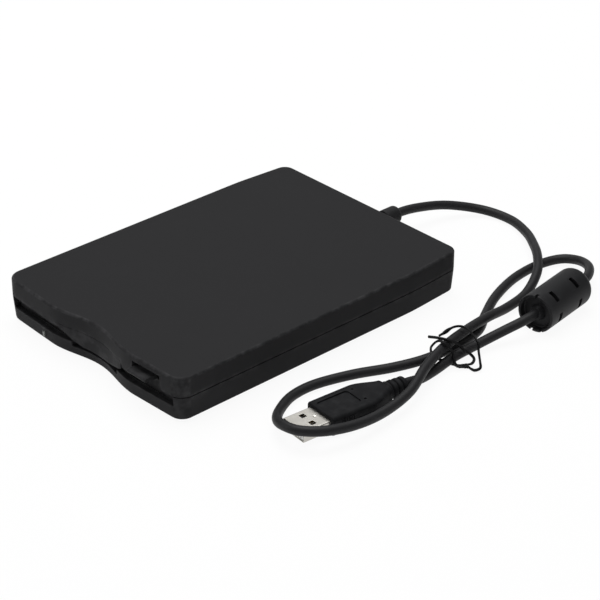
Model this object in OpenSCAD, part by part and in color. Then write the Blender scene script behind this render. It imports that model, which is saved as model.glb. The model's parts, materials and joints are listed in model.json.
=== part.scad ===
// External 3.5 inch floppy disk drive with a USB lead.
// Millimetres. +Z is up and Z = 0 is the table. X runs across the front, and the
// disk goes in towards +Y. The origin is under the middle of the case.

/* [Case] */
// Width of the case
case_w = 104; // [103:0.5:110]
// Length of the case, from the front shoulders to the rear wall
case_l = 143.5; // [142.5:0.5:150]
// Height of the two shells together, without the feet
case_h = 18; // [17.8:0.1:22]
// Thickness of the shells
wall = 1.7; // [1.4:0.1:1.8]
// Height of the seam above the underside of the case
seam_up = 9.85; // [9.5:0.05:10.4]
// Plan radius of the two front corners
front_corner_r = 6; // [5.5:0.5:7]
// Plan radius of the two rear corners
rear_corner_r = 4.5; // [3:0.5:6]
// Radius along the top edge
top_edge_r = 1; // [0.6:0.1:1.3]
// Radius along the bottom edge
bottom_edge_r = 1.1; // [0.6:0.1:1.3]
// How far the lower shell draws in towards its underside
draft = 0.8; // [0.2:0.1:0.9]
// Length over which the sides close in towards the rear
taper_l = 29.5; // [24:0.5:34]
// Angle at which the sides close in
taper_angle = 4.2; // [2:0.1:4.5]
// Depth and height of the groove along the seam
seam_groove = 0.4; // [0.2:0.1:0.6]

/* [Front wave] */
// Depth of the hollow in the middle of the front
wave_depth = 3.6; // [3:0.1:4]
// Half the width of the hollow
wave_half = 24; // [20:0.5:26]
// Middle of the hollow, from the middle of the case
wave_x = 1; // [0:0.5:2]
// How far the front falls back from its shoulders to the corners
front_bow = 0.95; // [0:0.05:1.2]

/* [Disk slot] */
// Width of the slot through the front wall
slot_w = 95; // [94.6:0.2:96]
// Drop from the floor of the disk bay to the lower lip of the slot
lip_drop = 1.4; // [1:0.1:1.6]
// Width of the thumb notch in the lower lip
thumb_w = 27; // [22:1:30]
// Depth of the thumb notch
thumb_drop = 2; // [1:0.1:2]
// Thickness of the dust flap
flap_t = 0.8; // [0.6:0.1:0.9]
// Radius of the flap's pivot pins
flap_pin_r = 0.4; // [0.35:0.05:0.45]
// Swing of the flap
flap_swing = 86; // [60:1:88]

/* [Eject button] */
// How far the button stands out of the front shoulders
button_out = 2.5; // [2:0.1:3.5]
// Width of the button
button_w = 10.2; // [8:0.2:11]
// Height of the button's finger face
button_h = 1.85; // [1.5:0.05:2]
// Left edge of the button, from the middle of the case
button_x = 26.6; // [24:0.2:28]
// Width of the notch in the upper shell
notch_w = 14.7; // [13:0.1:16]
// Height of the notch in the upper shell
notch_h = 4; // [3.2:0.1:4.2]
// Travel of the button and its slide
eject_travel = 5; // [4:0.5:5]

/* [Disk bay] */
// Width of the disk
disk_w = 90; // [89.8:0.1:90]
// Length of the disk
disk_l = 94; // [93.8:0.1:94]
// Height between the holder's rails and its roof
bay_h = 4.4; // [4.2:0.1:4.6]
// How far the holder drops when a disk is taken in
holder_drop = 2.2; // [1.8:0.1:2.2]
// Distance from the leading edge of the disk to its hub
hub_back = 46; // [45:0.5:47]
// Radius of the outermost track
track_out_r = 39.5; // [39:0.1:39.5]
// Radius of the innermost track
track_in_r = 24.7; // [24.7:0.1:25.5]

/* [Mechanism] */
// Width of the drive frame
mech_w = 96; // [95.8:0.1:96]
// Length of the drive frame
frame_l = 121.4; // [121:0.1:121.6]
// Height of the drive frame with its shield
mech_h = 12.7; // [12.6:0.1:13]
// Thickness of the frame's base and the shield
sheet_t = 0.6; // [0.5:0.05:0.7]
// Thickness of the frame's side walls
side_t = 1; // [0.8:0.1:1]
// Radius of the rotor
rotor_r = 17; // [16:0.5:18]
// Number of stator teeth
teeth = 12; // [9:3:15]
// Radius of the spindle shaft
shaft_r = 1.2; // [1:0.1:1.3]
// Pitch of the lead screw
screw_pitch = 3; // [3:0.25:3.5]
// Radius of the guide rod
rod_r = 1.25; // [1:0.05:1.3]
// Radial clearance of each running fit
running_fit = 0.05; // [0.03:0.01:0.08]
// Clearance between pieces that pass each other
pass_gap = 0.3; // [0.2:0.05:0.35]

/* [Feet and screws] */
// Height of the feet below the case
foot_h = 1; // [0.8:0.1:1.5]
// Radius of the feet
foot_r = 5; // [4:0.25:5]
// Distance of the front feet from the sides of the case
foot_in = 12; // [11:0.5:14]
// Distance of the feet from the front and the rear of the case
foot_along = 13.5; // [12:0.5:16]
// Radius of the screws' shanks
screw_r = 1.15; // [1:0.05:1.25]
// Distance of the rear screws from the sides of the case
rear_screw_in = 7; // [6.8:0.1:7.2]
// Distance of the rear screws from the rear of the case
rear_screw_along = 8; // [7.8:0.1:8.2]
// Radius of the screws' heads
screw_head_r = 2.2; // [2:0.1:2.3]

/* [USB lead] */
// Diameter of the lead
lead_d = 3.8; // [3.4:0.1:3.8]
// Radius of the strain relief
relief_r = 5.1; // [4.8:0.1:5.4]
// Length of the strain relief outside the case
relief_l = 16; // [14:0.5:18]
// Radius of the tie's wire in its plastic
tie_r = 0.5; // [0.4:0.05:0.5]
// Radius of the ferrite bead
bead_r = 7.8; // [7:0.1:7.8]
// Width of the plug's moulding
plug_w = 15.4; // [14:0.2:16]
// Height of the plug's moulding
plug_h = 7.8; // [7:0.1:7.8]
// Width of the plug's metal shell
shell_w = 12; // [12:0.1:12.2]
// Height of the plug's metal shell
shell_h = 4.5; // [4.5:0.05:4.6]
// Length of the metal shell that shows
shell_l = 11.8; // [11.6:0.1:12]

/* [Hidden] */
$fn = 48;

// Heights
case_z0 = foot_h;
case_z1 = foot_h + case_h;
seam_z = foot_h + seam_up;
floor_z = case_z0 + wall;
ceiling_z = case_z1 - wall;
frame_lift = 0.4;
frame_z = floor_z + frame_lift;
base_z = frame_z + sheet_t;
shield_z = frame_z + mech_h - sheet_t;
bay_up = 4.5;
bay_z = base_z + bay_up;
bay_top = bay_z + bay_h;
lip_z = bay_z - lip_drop;

// Front to rear
rear_y = (case_l + button_out) / 2;
front_y = rear_y - case_l;
button_y = front_y - button_out;
taper_y = rear_y - taper_l;
taper_r = 120;
corner_x = case_w / 2 - front_corner_r;
flap_y = front_y + wave_depth;
bezel_front = flap_y + 1.9;
bezel_rear = flap_y + 5.3;
disk_front = flap_y + 1.9;
disk_rear = disk_front + disk_l;
spin_y = disk_rear - hub_back;
holder_front = bezel_rear + 2.4;
holder_rear = disk_rear + 0.6;
slide_front = bezel_rear + eject_travel + 0.4;
frame_front = bezel_rear + 0.2;
frame_rear = frame_front + frame_l;
board_front = frame_front + 3.4;

// Front wall, as a function of x: a hollow between two shoulders
function front(x) = let (d = abs(x - wave_x))
    d < wave_half ? front_y + wave_depth * (1 + cos(180 * d / wave_half)) / 2
    : front_y + front_bow * (d - wave_half) / (corner_x + 1 - wave_half);
function unit(v) = v / norm(v);
function arc(c, r, a0, a1, n) =
    [for (i = [0:n]) let (a = a0 + (a1 - a0) * i / n) [c[0] + r * cos(a), c[1] + r * sin(a)]];
function mirrored(pts) = [for (i = [len(pts) - 1:-1:0]) [-pts[i][0], pts[i][1]]];

// Plan outline of the case, counter-clockwise from the front left corner
taper_end = [case_w / 2 - taper_r * (1 - cos(taper_angle)), taper_y + taper_r * sin(taper_angle)];
rear_run = (rear_y - rear_corner_r * (1 - sin(taper_angle)) - taper_end[1]) / cos(taper_angle);
rear_c = [taper_end[0] - rear_run * sin(taper_angle) - rear_corner_r * cos(taper_angle),
    rear_y - rear_corner_r];
right_side = concat(
    arc([case_w / 2 - taper_r, taper_y], taper_r, 0, taper_angle, 3),
    arc(rear_c, rear_corner_r, taper_angle, 90, 5));
front_steps = 26;
outline = concat(
    [for (i = [1:front_steps - 1]) let (x = corner_x * (2 * i / front_steps - 1)) [x, front(x)]],
    arc([corner_x, front(corner_x) + front_corner_r], front_corner_r, -90, 0, 5),
    right_side,
    mirrored(right_side),
    arc([-corner_x, front(-corner_x) + front_corner_r], front_corner_r, 180, 270, 5));
function inset(pts, d) = let (n = len(pts))
    [for (i = [0:n - 1]) let (t = unit(pts[(i + 1) % n] - pts[(i + n - 1) % n]))
        pts[i] + d * [-t[1], t[0]]];
function ring(d, z) = [for (p = inset(outline, d)) [p[0], p[1], z]];

// A closed skin over rings of points, each counter-clockwise seen against the way they run
module loft(rings) {
    n = len(rings[0]);
    m = len(rings);
    polyhedron([for (r = rings) each r], concat(
        [[for (i = [0:n - 1]) i]],
        [[for (i = [n - 1:-1:0]) (m - 1) * n + i]],
        [for (j = [0:m - 2], i = [0:n - 1]) let (k = (i + 1) % n)
            each [[j * n + i, (j + 1) * n + i, (j + 1) * n + k], [j * n + i, (j + 1) * n + k, j * n + k]]]));
}

// A smooth route through points, with n steps in each stretch and given end directions
function spline(p, n, d0, d1) = let (
    q = concat([p[1] - 2 * norm(p[1] - p[0]) * d0], p,
        [p[len(p) - 2] + 2 * norm(p[len(p) - 1] - p[len(p) - 2]) * d1]))
    concat([for (i = [1:len(p) - 1], k = [0:n - 1]) let (t = k / n)
        0.5 * (2 * q[i] + (q[i + 1] - q[i - 1]) * t
            + (2 * q[i - 1] - 5 * q[i] + 4 * q[i + 1] - q[i + 2]) * t * t
            + (3 * q[i] - q[i - 1] - 3 * q[i + 1] + q[i + 2]) * t * t * t)],
        [p[len(p) - 1]]);

// A tube of radius r along a route
module tube(route, r, sides, d0, d1) {
    m = len(route);
    loft([for (i = [0:m - 1]) let (
        t = i == 0 ? d0 : i == m - 1 ? d1 : unit(route[i + 1] - route[i - 1]),
        s = unit(cross(t, abs(t[2]) > 0.95 ? [0, 1, 0] : [0, 0, 1])),
        u = cross(t, s))
        [for (k = [0:sides - 1]) let (a = 360 * (k + 0.5) / sides) route[i] + r * (cos(a) * s + sin(a) * u)]]);
}

// A wound spring along +Z from the origin
module coil(r, wire, turns, length) {
    steps = 8;
    route = [for (i = [0:turns * steps]) let (a = 360 * i / steps)
        [r * cos(a), r * sin(a), length * i / (turns * steps)]];
    last = len(route) - 1;
    tube(route, wire, 6, unit(route[1] - route[0]), unit(route[last] - route[last - 1]));
}

module box(x0, x1, y0, y1, z0, z1) translate([x0, y0, z0]) cube([x1 - x0, y1 - y0, z1 - z0]);
module rod(r, x, y, z0, z1) translate([x, y, z0]) cylinder(r = r, h = z1 - z0);
module rod_x(r, x0, x1, y, z) translate([x0, y, z]) rotate([0, 90, 0]) cylinder(r = r, h = x1 - x0);
module rod_y(r, x, y0, y1, z) translate([x, y0, z]) rotate([-90, 0, 0]) cylinder(r = r, h = y1 - y0);
module both() { children(); mirror([1, 0, 0]) children(); }
module slab(pts, z0, z1) translate([0, 0, z0]) linear_extrude(z1 - z0) polygon(pts);

// A flat bar with round ends between two plan points
module bar(a, b, r, z0, z1) {
    rod(r, a[0], a[1], z0, z1);
    rod(r, b[0], b[1], z0, z1);
    translate([a[0], a[1], z0]) rotate([0, 0, atan2(b[1] - a[1], b[0] - a[0])])
        translate([0, -r, 0]) cube([norm(b - a), 2 * r, z1 - z0]);
}

// A round-ended slot through a side wall, between two points in the YZ plane
module side_slot(a, b, r, x0, x1) {
    rod_x(r, x0, x1, a[0], a[1]);
    rod_x(r, x0, x1, b[0], b[1]);
    translate([x0, a[0], a[1]]) rotate([atan2(b[1] - a[1], b[0] - a[0]), 0, 0])
        translate([0, 0, -r]) cube([x1 - x0, norm(b - a), 2 * r]);
}

// ---- Case ----

// Fastenings, as [x, y]
rear_screws = [for (s = [1, -1]) [s * (case_w / 2 - rear_screw_in), rear_y - rear_screw_along]];
frame_screw_in = 3.5;
frame_screws = [for (s = [-1, 1], y = [frame_front + 21.4, frame_rear - 10])
    [s * (mech_w / 2 - frame_screw_in), y]];
// the rear feet stand a little further in, because the sides close in there
rear_foot_in = foot_in + 2;
feet = [for (s = [-1, 1]) each [[s * (case_w / 2 - foot_in), front_y + foot_along],
    [s * (case_w / 2 - rear_foot_in), rear_y - foot_along + 0.5]]];
relief_z = 9.5;
// depth of the strain relief's inner flange behind the rear face
flange_in = wall + draft + 0.1;
groove_h = seam_groove / 2;

module slot_cut() {
    half = slot_w / 2;
    deep = flap_y + wall + draft + 0.5;
    box(-half, half, front_y - 3, deep, lip_z, bay_top);
    box(wave_x - thumb_w / 2, wave_x + thumb_w / 2, front_y - 3, deep, lip_z - thumb_drop, lip_z + 1);
}
rib_t = 1.2;
module relief_hole() rod_y(relief_r - 0.6, 0, rear_y - flange_in - 1, rear_y + 1, relief_z);

module top_cover() color([0.15, 0.15, 0.16]) {
    edge = [for (a = [0:22.5:90]) [top_edge_r * (1 - cos(a)), case_z1 - top_edge_r * (1 - sin(a))]];
    difference() {
        loft(concat(
            [ring(seam_groove, seam_z), ring(seam_groove, seam_z + groove_h - 0.02), ring(0, seam_z + groove_h)],
            [for (e = edge) ring(e[0], e[1])]));
        slab(inset(outline, wall), seam_z - 1, ceiling_z);
        slot_cut();
        box(button_x - pass_gap, button_x - pass_gap + notch_w, front_y - 3, flap_y, bay_top - 1, bay_top + notch_h);
        relief_hole();
    }
    for (p = rear_screws) difference() {
        rod(2.6, p[0], p[1], seam_z + 0.2, ceiling_z + 0.4);
        rod(screw_r, p[0], p[1], seam_z - 1, ceiling_z - 1);
    }
    // ribs that hold the shield down
    for (y = [spin_y - 21, frame_rear - 18])
        both() box(12, mech_w / 2 - 10, y, y + rib_t, frame_z + mech_h + 0.1, ceiling_z + 0.2);
}

module bottom_cover() color([0.14, 0.14, 0.15]) {
    tall = seam_z - case_z0;
    edge = [for (a = [0:22.5:90]) [bottom_edge_r * (1 - sin(a)), case_z0 + bottom_edge_r * (1 - cos(a))]];
    difference() {
        union() {
            difference() {
                loft(concat(
                    [ring(bottom_edge_r + draft + 0.3, case_z0 - 0.3)],
                    [for (e = edge) ring(e[0] + draft * (seam_z - e[1]) / tall, e[1])],
                    [ring(0, seam_z - groove_h), ring(seam_groove, seam_z - groove_h + 0.02), ring(seam_groove, seam_z)]));
                box(-case_w, case_w, front_y - 5, rear_y + 5, case_z0 - 1, case_z0);
                slab(inset(outline, wall + draft), floor_z, seam_z + 1);
            }
            for (p = rear_screws) rod(2.7, p[0], p[1], floor_z - 0.5, seam_z);
            for (p = frame_screws) rod(3, p[0], p[1], floor_z - 0.5, frame_z);
            // posts and pegs of the small board
            for (p = usb_seats) {
                rod(2, p[0], p[1], floor_z - 0.5, usb_board_z);
                rod(1, p[0], p[1], floor_z, usb_board_z + 1.4);
            }
        }
        slot_cut();
        relief_hole();
        for (p = rear_screws) {
            rod(screw_r + 0.2, p[0], p[1], 0, seam_z + 1);
            rod(screw_head_r + 0.2, p[0], p[1], 0, case_z0 + 3);
        }
        for (p = frame_screws) {
            rod(screw_r + 0.2, p[0], p[1], 0, frame_z + 1);
            rod(screw_head_r + 0.2, p[0], p[1], 0, case_z0 + 1.2);
        }
        for (p = feet) rod(foot_r + 0.05, p[0], p[1], 0, case_z0 + 0.4);
        box(led_x - led_w / 2, led_x + led_w / 2, front_y - 3, front_y + 6, led_z, led_z + led_h);
    }
}

module rubber_feet() color([0.09, 0.09, 0.09])
    for (p = feet) translate([p[0], p[1], 0]) rotate_extrude()
        polygon([[0, 0], [foot_r - 0.6, 0], [foot_r, 0.5], [foot_r, case_z0 + 0.4], [0, case_z0 + 0.4]]);

module screw(p, head_z, tip_z) {
    difference() {
        rod(screw_head_r, p[0], p[1], head_z - 1.1, head_z);
        // cross recess
        for (a = [0, 90]) translate([p[0], p[1], head_z - 1.1]) rotate([0, 0, a + 20])
            cube([2.6, 0.6, 1.1], center = true);
    }
    rod(screw_r, p[0], p[1], head_z, tip_z);
}
module case_screws() color([0.35, 0.35, 0.37]) {
    for (p = rear_screws) screw(p, case_z0 + 3, seam_z + 4.5);
    for (p = frame_screws) screw(p, case_z0 + 1.2, base_z + 1.2);
}

led_x = -28;
led_w = 1.3;
led_h = 2.1;
led_z = case_z0 + 1.8;
led_rear = board_front - 0.2;
module led_light_pipe() color([0.75, 0.85, 0.7, 0.8]) {
    tip = front(led_x) - 0.05;
    box(led_x - led_w / 2, led_x + led_w / 2, tip + 0.15, led_rear, led_z, led_z + led_h);
    box(led_x - led_w / 2 + 0.15, led_x + led_w / 2 - 0.15, tip, tip + 0.15, led_z + 0.15, led_z + led_h - 0.15);
}

// ---- Front bezel and dust flap ----

bezel_half = mech_w / 2;
flap_half = slot_w / 2 - 0.9;
hinge_y = flap_y + 0.3;
hinge_z = bay_top - 0.6;
hinge_r = 0.4;
flap_low = lip_z + 0.2;
thumb_half = thumb_w / 2 - 0.3;

module slot_bezel() color([0.12, 0.12, 0.13]) {
    in_case = inset(outline, wall + draft + 0.1);
    ledge_z = lip_z + 0.4;
    difference() {
        union() {
            intersection() {
                slab(in_case, frame_z, shield_z + sheet_t);
                union() {
                    box(-bezel_half, bezel_half, bezel_front, bezel_rear, frame_z, shield_z + sheet_t);
                    box(-bezel_half, bezel_half, front_y, bezel_front + 1, frame_z, ledge_z);
                }
            }
            // ears that carry the flap
            both() box(flap_half + 0.2, slot_w / 2 - 0.1, flap_y - 0.3, bezel_front + 1, bay_z, bay_top - 0.05);
        }
        // window that the flap swings through, and the hollow under its thumb tab
        box(-flap_half - 0.2, flap_half + 0.2, flap_y - 0.2, bezel_rear + 1, lip_z - 0.1, bay_top + 0.2);
        box(wave_x - thumb_half - 0.6, wave_x + thumb_half + 0.6, front_y, bezel_rear + 1,
            lip_z - thumb_drop - 0.1, bay_top);
        // way of the eject button
        box(button_x - 2 * pass_gap, button_x + notch_w, front_y, bezel_rear + 1, bay_top - 1, shield_z + 2);
        rod_x(flap_pin_r + running_fit, -case_w / 2, case_w / 2, hinge_y, hinge_z);
        box(led_x - led_w / 2 - 0.1, led_x + led_w / 2 + 0.1, front_y - 3, bezel_rear + 1,
            led_z - 0.1, led_z + led_h + 0.1);
        // hollow back
        for (x = [4 - bezel_half, -24, 18])
            box(x, x + 14, bezel_front + 1.2, bezel_rear + 1, frame_z + 0.9, lip_z - 1.2);
    }
}

module slot_flap() color([0.13, 0.13, 0.14]) {
    difference() {
        box(-flap_half, flap_half, flap_y, flap_y + flap_t, flap_low, hinge_z);
        box(-flap_half + 0.6, -flap_half + 3.4, flap_y - 1, flap_y + 2, hinge_z - 1, hinge_z + 1);
    }
    box(wave_x - thumb_half, wave_x + thumb_half, flap_y, flap_y + flap_t, flap_low - thumb_drop, flap_low + 0.5);
    rod_x(hinge_r, -flap_half, flap_half, hinge_y, hinge_z);
    both() rod_x(flap_pin_r, flap_half - 0.5, flap_half + 1, hinge_y, hinge_z);
    // stiffening rib inside
    box(-flap_half + 2, wave_x - thumb_half - 1, flap_y + flap_t, flap_y + flap_t + 0.3, flap_low + 0.3, flap_low + 0.9);
    box(wave_x + thumb_half + 1, flap_half - 2, flap_y + flap_t, flap_y + flap_t + 0.3, flap_low + 0.3, flap_low + 0.9);
}

module flap_spring() color([0.7, 0.7, 0.72])
    translate([-flap_half + 0.8, hinge_y, hinge_z]) rotate([0, 90, 0]) coil(0.55, 0.1, 6, 2.4);

// ---- Eject button, slide and disk holder ----

button_z = bay_top + 0.15;
plate_y = front_y + eject_travel + 0.3;
slide_z = bay_top + 1.5;
slide_half = mech_w / 2 - side_t - pass_gap;
tab_x = button_x + 3.4;
slide_rear = holder_rear - 0.6;
module eject_button() color([0.13, 0.13, 0.14]) {
    x1 = button_x + button_w;
    difference() {
        union() {
            // finger bar with a rounded front
            box(button_x, x1, button_y + 0.6, bezel_rear - 0.5, button_z, button_z + button_h);
            hull() {
                box(button_x + 0.5, x1 - 0.5, button_y, button_y + 0.2, button_z + 0.3, button_z + button_h - 0.3);
                box(button_x, x1, button_y + 0.6, button_y + 0.8, button_z, button_z + button_h);
            }
            // plate that closes the notch from inside
            box(button_x, button_x + notch_w - 2.5 * pass_gap, plate_y, plate_y + 1,
                button_z, bay_top + notch_h - pass_gap);
        }
        box(tab_x, tab_x + 4, bezel_front - 0.5, bezel_rear, slide_z, slide_z + sheet_t);
    }
}

pin_r = 0.9;
pin_z = bay_z + 2.4;
pin_ys = [slide_front + 10, slide_rear - 17.2];
slide_low = pin_z - holder_drop - pin_r - 1.2;
module eject_slide() color([0.62, 0.63, 0.65]) {
    difference() {
        union() {
            box(-slide_half, slide_half, slide_front, slide_rear, slide_z, slide_z + sheet_t);
            both() box(slide_half - sheet_t, slide_half, slide_front, slide_rear, slide_low, slide_z + sheet_t);
            box(tab_x, tab_x + 4, bezel_front - 0.5, slide_front + 1, slide_z, slide_z + sheet_t);
        }
        // inclined cam slots: the holder's pins run down them as the slide comes out
        both() for (y = pin_ys) side_slot([y, pin_z], [y + eject_travel, pin_z - holder_drop], pin_r + 0.15,
            slide_half - 2, slide_half + 1);
        // way of the head arm and windows of the two springs
        box(-8, 8, spin_y + track_in_r - 8, slide_rear + 1, slide_z - 1, slide_z + 2);
        both() box(spring_x - 1.7, spring_x + 1.7, spring_y - 1.5, spring_y + spring_l - 0.2, slide_z - 1, slide_z + 2);
        // lightening holes
        both() box(12, 24, spin_y - 23, spin_y - 7, slide_z - 1, slide_z + 2);
        rod(13, 0, spin_y, slide_z - 1, slide_z + 2);
    }
    both() box(spring_x - 0.5, spring_x + 0.5, spring_y + spring_l - 0.2, spring_y + spring_l + 1,
        slide_z + sheet_t, shield_z - 0.2);
}

spring_x = 31;
spring_y = spin_y + 3;
spring_l = 15.4;
spring_z = (bay_top + sheet_t + shield_z) / 2;
module eject_springs() color([0.75, 0.75, 0.77])
    both() translate([spring_x, spring_y + 0.2, spring_z]) rotate([-90, 0, 0]) coil(0.7, 0.18, 9, spring_l - 0.6);

holder_half = disk_w / 2 + 0.2;
lever_c = [-(mech_w / 2 - side_t - 3), disk_rear + 4.4];
lever_l = 31;
lever_rest = -63;
lever_swing = 57;
function lever_at(a) = lever_c + lever_l * [cos(lever_rest + a), sin(lever_rest + a)];
module disk_holder() color([0.66, 0.67, 0.69]) {
    outer = holder_half + sheet_t;
    difference() {
        union() {
            box(-outer, outer, holder_front, holder_rear, bay_top, bay_top + sheet_t);
            both() box(holder_half, outer, holder_front, holder_rear, bay_z - sheet_t, bay_top + sheet_t);
            both() box(holder_half - 3.6, holder_half + 0.1, holder_front, holder_rear, bay_z - sheet_t, bay_z);
        }
        // way of the upper head, and the arc of the trigger lever's pin
        box(-7.5, 7.5, spin_y + track_in_r - 7, holder_rear + 1, bay_top - 1, bay_top + 2);
        translate([lever_c[0], lever_c[1], bay_top - 1]) rotate([0, 0, lever_rest - 4])
            rotate_extrude(angle = lever_swing + 12) translate([lever_l - 1.4, 0]) square([2.8, 3]);
        rod(15, 0, spin_y, bay_top - 1, bay_top + 2);
        box(20, 30, disk_rear - 15, disk_rear - 5, bay_top - 1, bay_top + 2);
    }
}

module holder_pins() color([0.8, 0.8, 0.82])
    both() for (y = pin_ys) rod_x(pin_r, holder_half + sheet_t, mech_w / 2, y, pin_z);

// ---- Drive frame ----

board_z = base_z + 0.3;
board_t = 0.8;
module drive_frame() color([0.72, 0.73, 0.75]) {
    half = mech_w / 2;
    difference() {
        union() {
            box(-half, half, frame_front, frame_rear, frame_z, base_z);
            both() box(half - side_t, half, frame_front + 2.4, frame_rear, frame_z, shield_z);
            box(-half, half, frame_rear - side_t, frame_rear, frame_z, shield_z - 1);
            // post of the trigger lever
            rod(1.7, lever_c[0], lever_c[1], base_z - 0.1, bay_top + sheet_t + 0.05);
            rod(lever_post_r, lever_c[0], lever_c[1], base_z, slide_z + 0.2);
            // seats of the drive board
            for (p = board_seats) rod(1.6, p[0], p[1], base_z - 0.1, board_z);
        }
        both() for (y = pin_ys) side_slot([y, pin_z - holder_drop], [y, pin_z], pin_r + 0.15, half - 2, half + 1);
        for (p = frame_screws) rod(screw_r, p[0], p[1], frame_z - 1, base_z + 1);
        for (p = board_seats) rod(0.7, p[0], p[1], frame_z - 1, board_z + 1);
        // openings that save weight
        both() box(rotor_r + 3, half - 12, spin_y - 13, disk_rear - 7, frame_z - 1, base_z + 0.001);
        box(rod_x0 + 4, half - 8, disk_rear + 1, frame_rear - 10, frame_z - 1, base_z + 0.001);
        // ways of the light pipe and the ribbon
        box(led_x - led_w, led_x + led_w, frame_front - 1, led_rear + 0.4, frame_z - 1, base_z + 1);
        box(ribbon_x - 8, ribbon_x + 8, frame_rear - 2, frame_rear + 1, base_z, base_z + 4);
        box(lead_x + 4, half - 18, frame_rear - 2, frame_rear + 1, shield_z - 3, shield_z);
    }
}

module drive_shield() color([0.74, 0.75, 0.77]) {
    half = mech_w / 2;
    difference() {
        union() {
            box(-half, half, bezel_rear, frame_rear, shield_z, shield_z + sheet_t);
            // tabs that the eject springs hook on
            both() box(spring_x - 0.5, spring_x + 0.5, spring_y - 0.6, spring_y, slide_z + 0.1, shield_z + 0.1);
        }
        rod(9, 0, spin_y, shield_z - 1, shield_z + 2);
        both() box(half - 18, half - 6, frame_front + 9.4, frame_front + 17.4, shield_z - 1, shield_z + 2);
    }
}

// ---- Trigger lever ----

lever_post_r = 1.2;
module trigger_lever() color([0.7, 0.7, 0.66]) {
    z0 = bay_top + sheet_t + 0.1;
    z1 = slide_z - 0.2;
    difference() {
        union() {
            rod(2.6, lever_c[0], lever_c[1], z0, z1);
            bar(lever_c, lever_at(0), 1.5, z0, z1);
        }
        rod(lever_post_r + running_fit, lever_c[0], lever_c[1], z0 - 1, z1 + 1);
    }
    rod(1, lever_at(0)[0], lever_at(0)[1], bay_z + 1, z1);
}
module lever_spring() color([0.75, 0.75, 0.77])
    translate([lever_c[0], lever_c[1], bay_top - 1.6]) coil(2.05, 0.17, 4, 1.9);

// ---- Spindle motor ----

motor_z = base_z + 0.2;
magnet_r = rotor_r - 0.8;
tooth_r = magnet_r - 1.3;
bearing_r = 3.2;
module spindle_bearing() color([0.72, 0.6, 0.35]) difference() {
    union() {
        rod(6, 0, spin_y, base_z, motor_z + 0.1);
        rod(bearing_r, 0, spin_y, base_z, base_z + 1.4);
    }
    rod(shaft_r + running_fit, 0, spin_y, base_z - 1, base_z + 3);
}
module stator_core() color([0.45, 0.45, 0.47]) translate([0, spin_y, motor_z + 0.1]) difference() {
    union() {
        cylinder(r = 7, h = 0.8);
        for (i = [0:teeth - 1]) rotate([0, 0, 360 * i / teeth]) {
            translate([6, -0.6, 0]) cube([tooth_r - 7, 1.2, 0.8]);
            rotate([0, 0, -120 / teeth]) rotate_extrude(angle = 240 / teeth)
                translate([tooth_r - 1.2, 0]) square([1.2, 0.8]);
        }
    }
    translate([0, 0, -1]) cylinder(r = bearing_r + 0.1, h = 3);
}
module stator_coils() color([0.72, 0.42, 0.2]) translate([0, spin_y, motor_z + 0.5])
    for (i = [0:teeth - 1]) rotate([0, 0, 360 * i / teeth]) difference() {
        translate([7.4, -1.1, -0.55]) cube([tooth_r - 9, 2.2, 1.1]);
        translate([7, -0.6, -0.4]) cube([tooth_r - 7, 1.2, 0.8]);
    }
rotor_z = base_z + 1.6;
rotor_t = 0.5;
module spindle_rotor() color([0.7, 0.71, 0.73]) translate([0, spin_y, 0]) {
    translate([0, 0, rotor_z]) difference() {
        cylinder(r = rotor_r, h = rotor_t);
        for (a = [30:60:330]) rotate([0, 0, a]) translate([10, 0, -1]) cylinder(r = 1.6, h = 3);
    }
    difference() {
        translate([0, 0, motor_z]) cylinder(r = rotor_r, h = rotor_z - motor_z);
        translate([0, 0, motor_z - 1]) cylinder(r = magnet_r, h = rotor_z - motor_z + 1);
    }
    translate([0, 0, base_z + 0.1]) cylinder(r = shaft_r, h = bay_z - 0.3 - base_z);
}
module rotor_magnet() color([0.25, 0.24, 0.24]) translate([0, spin_y, motor_z + 0.05]) difference() {
    cylinder(r = magnet_r, h = 1.2);
    translate([0, 0, -1]) cylinder(r = magnet_r - 0.95, h = 4);
}
module chuck_plate() color([0.5, 0.5, 0.52]) translate([0, spin_y, rotor_z + rotor_t]) difference() {
    cylinder(r = 11, h = 0.8);
    translate([0, 0, -1]) cylinder(r = shaft_r, h = 3);
    translate([6.5, 0, -1]) cylinder(r = 0.9, h = 3);
}
module drive_pin() color([0.8, 0.8, 0.82]) translate([6.5, spin_y, rotor_z + rotor_t]) cylinder(r = 0.9, h = 1.5);

// ---- Heads, carriage and lead screw ----

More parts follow.
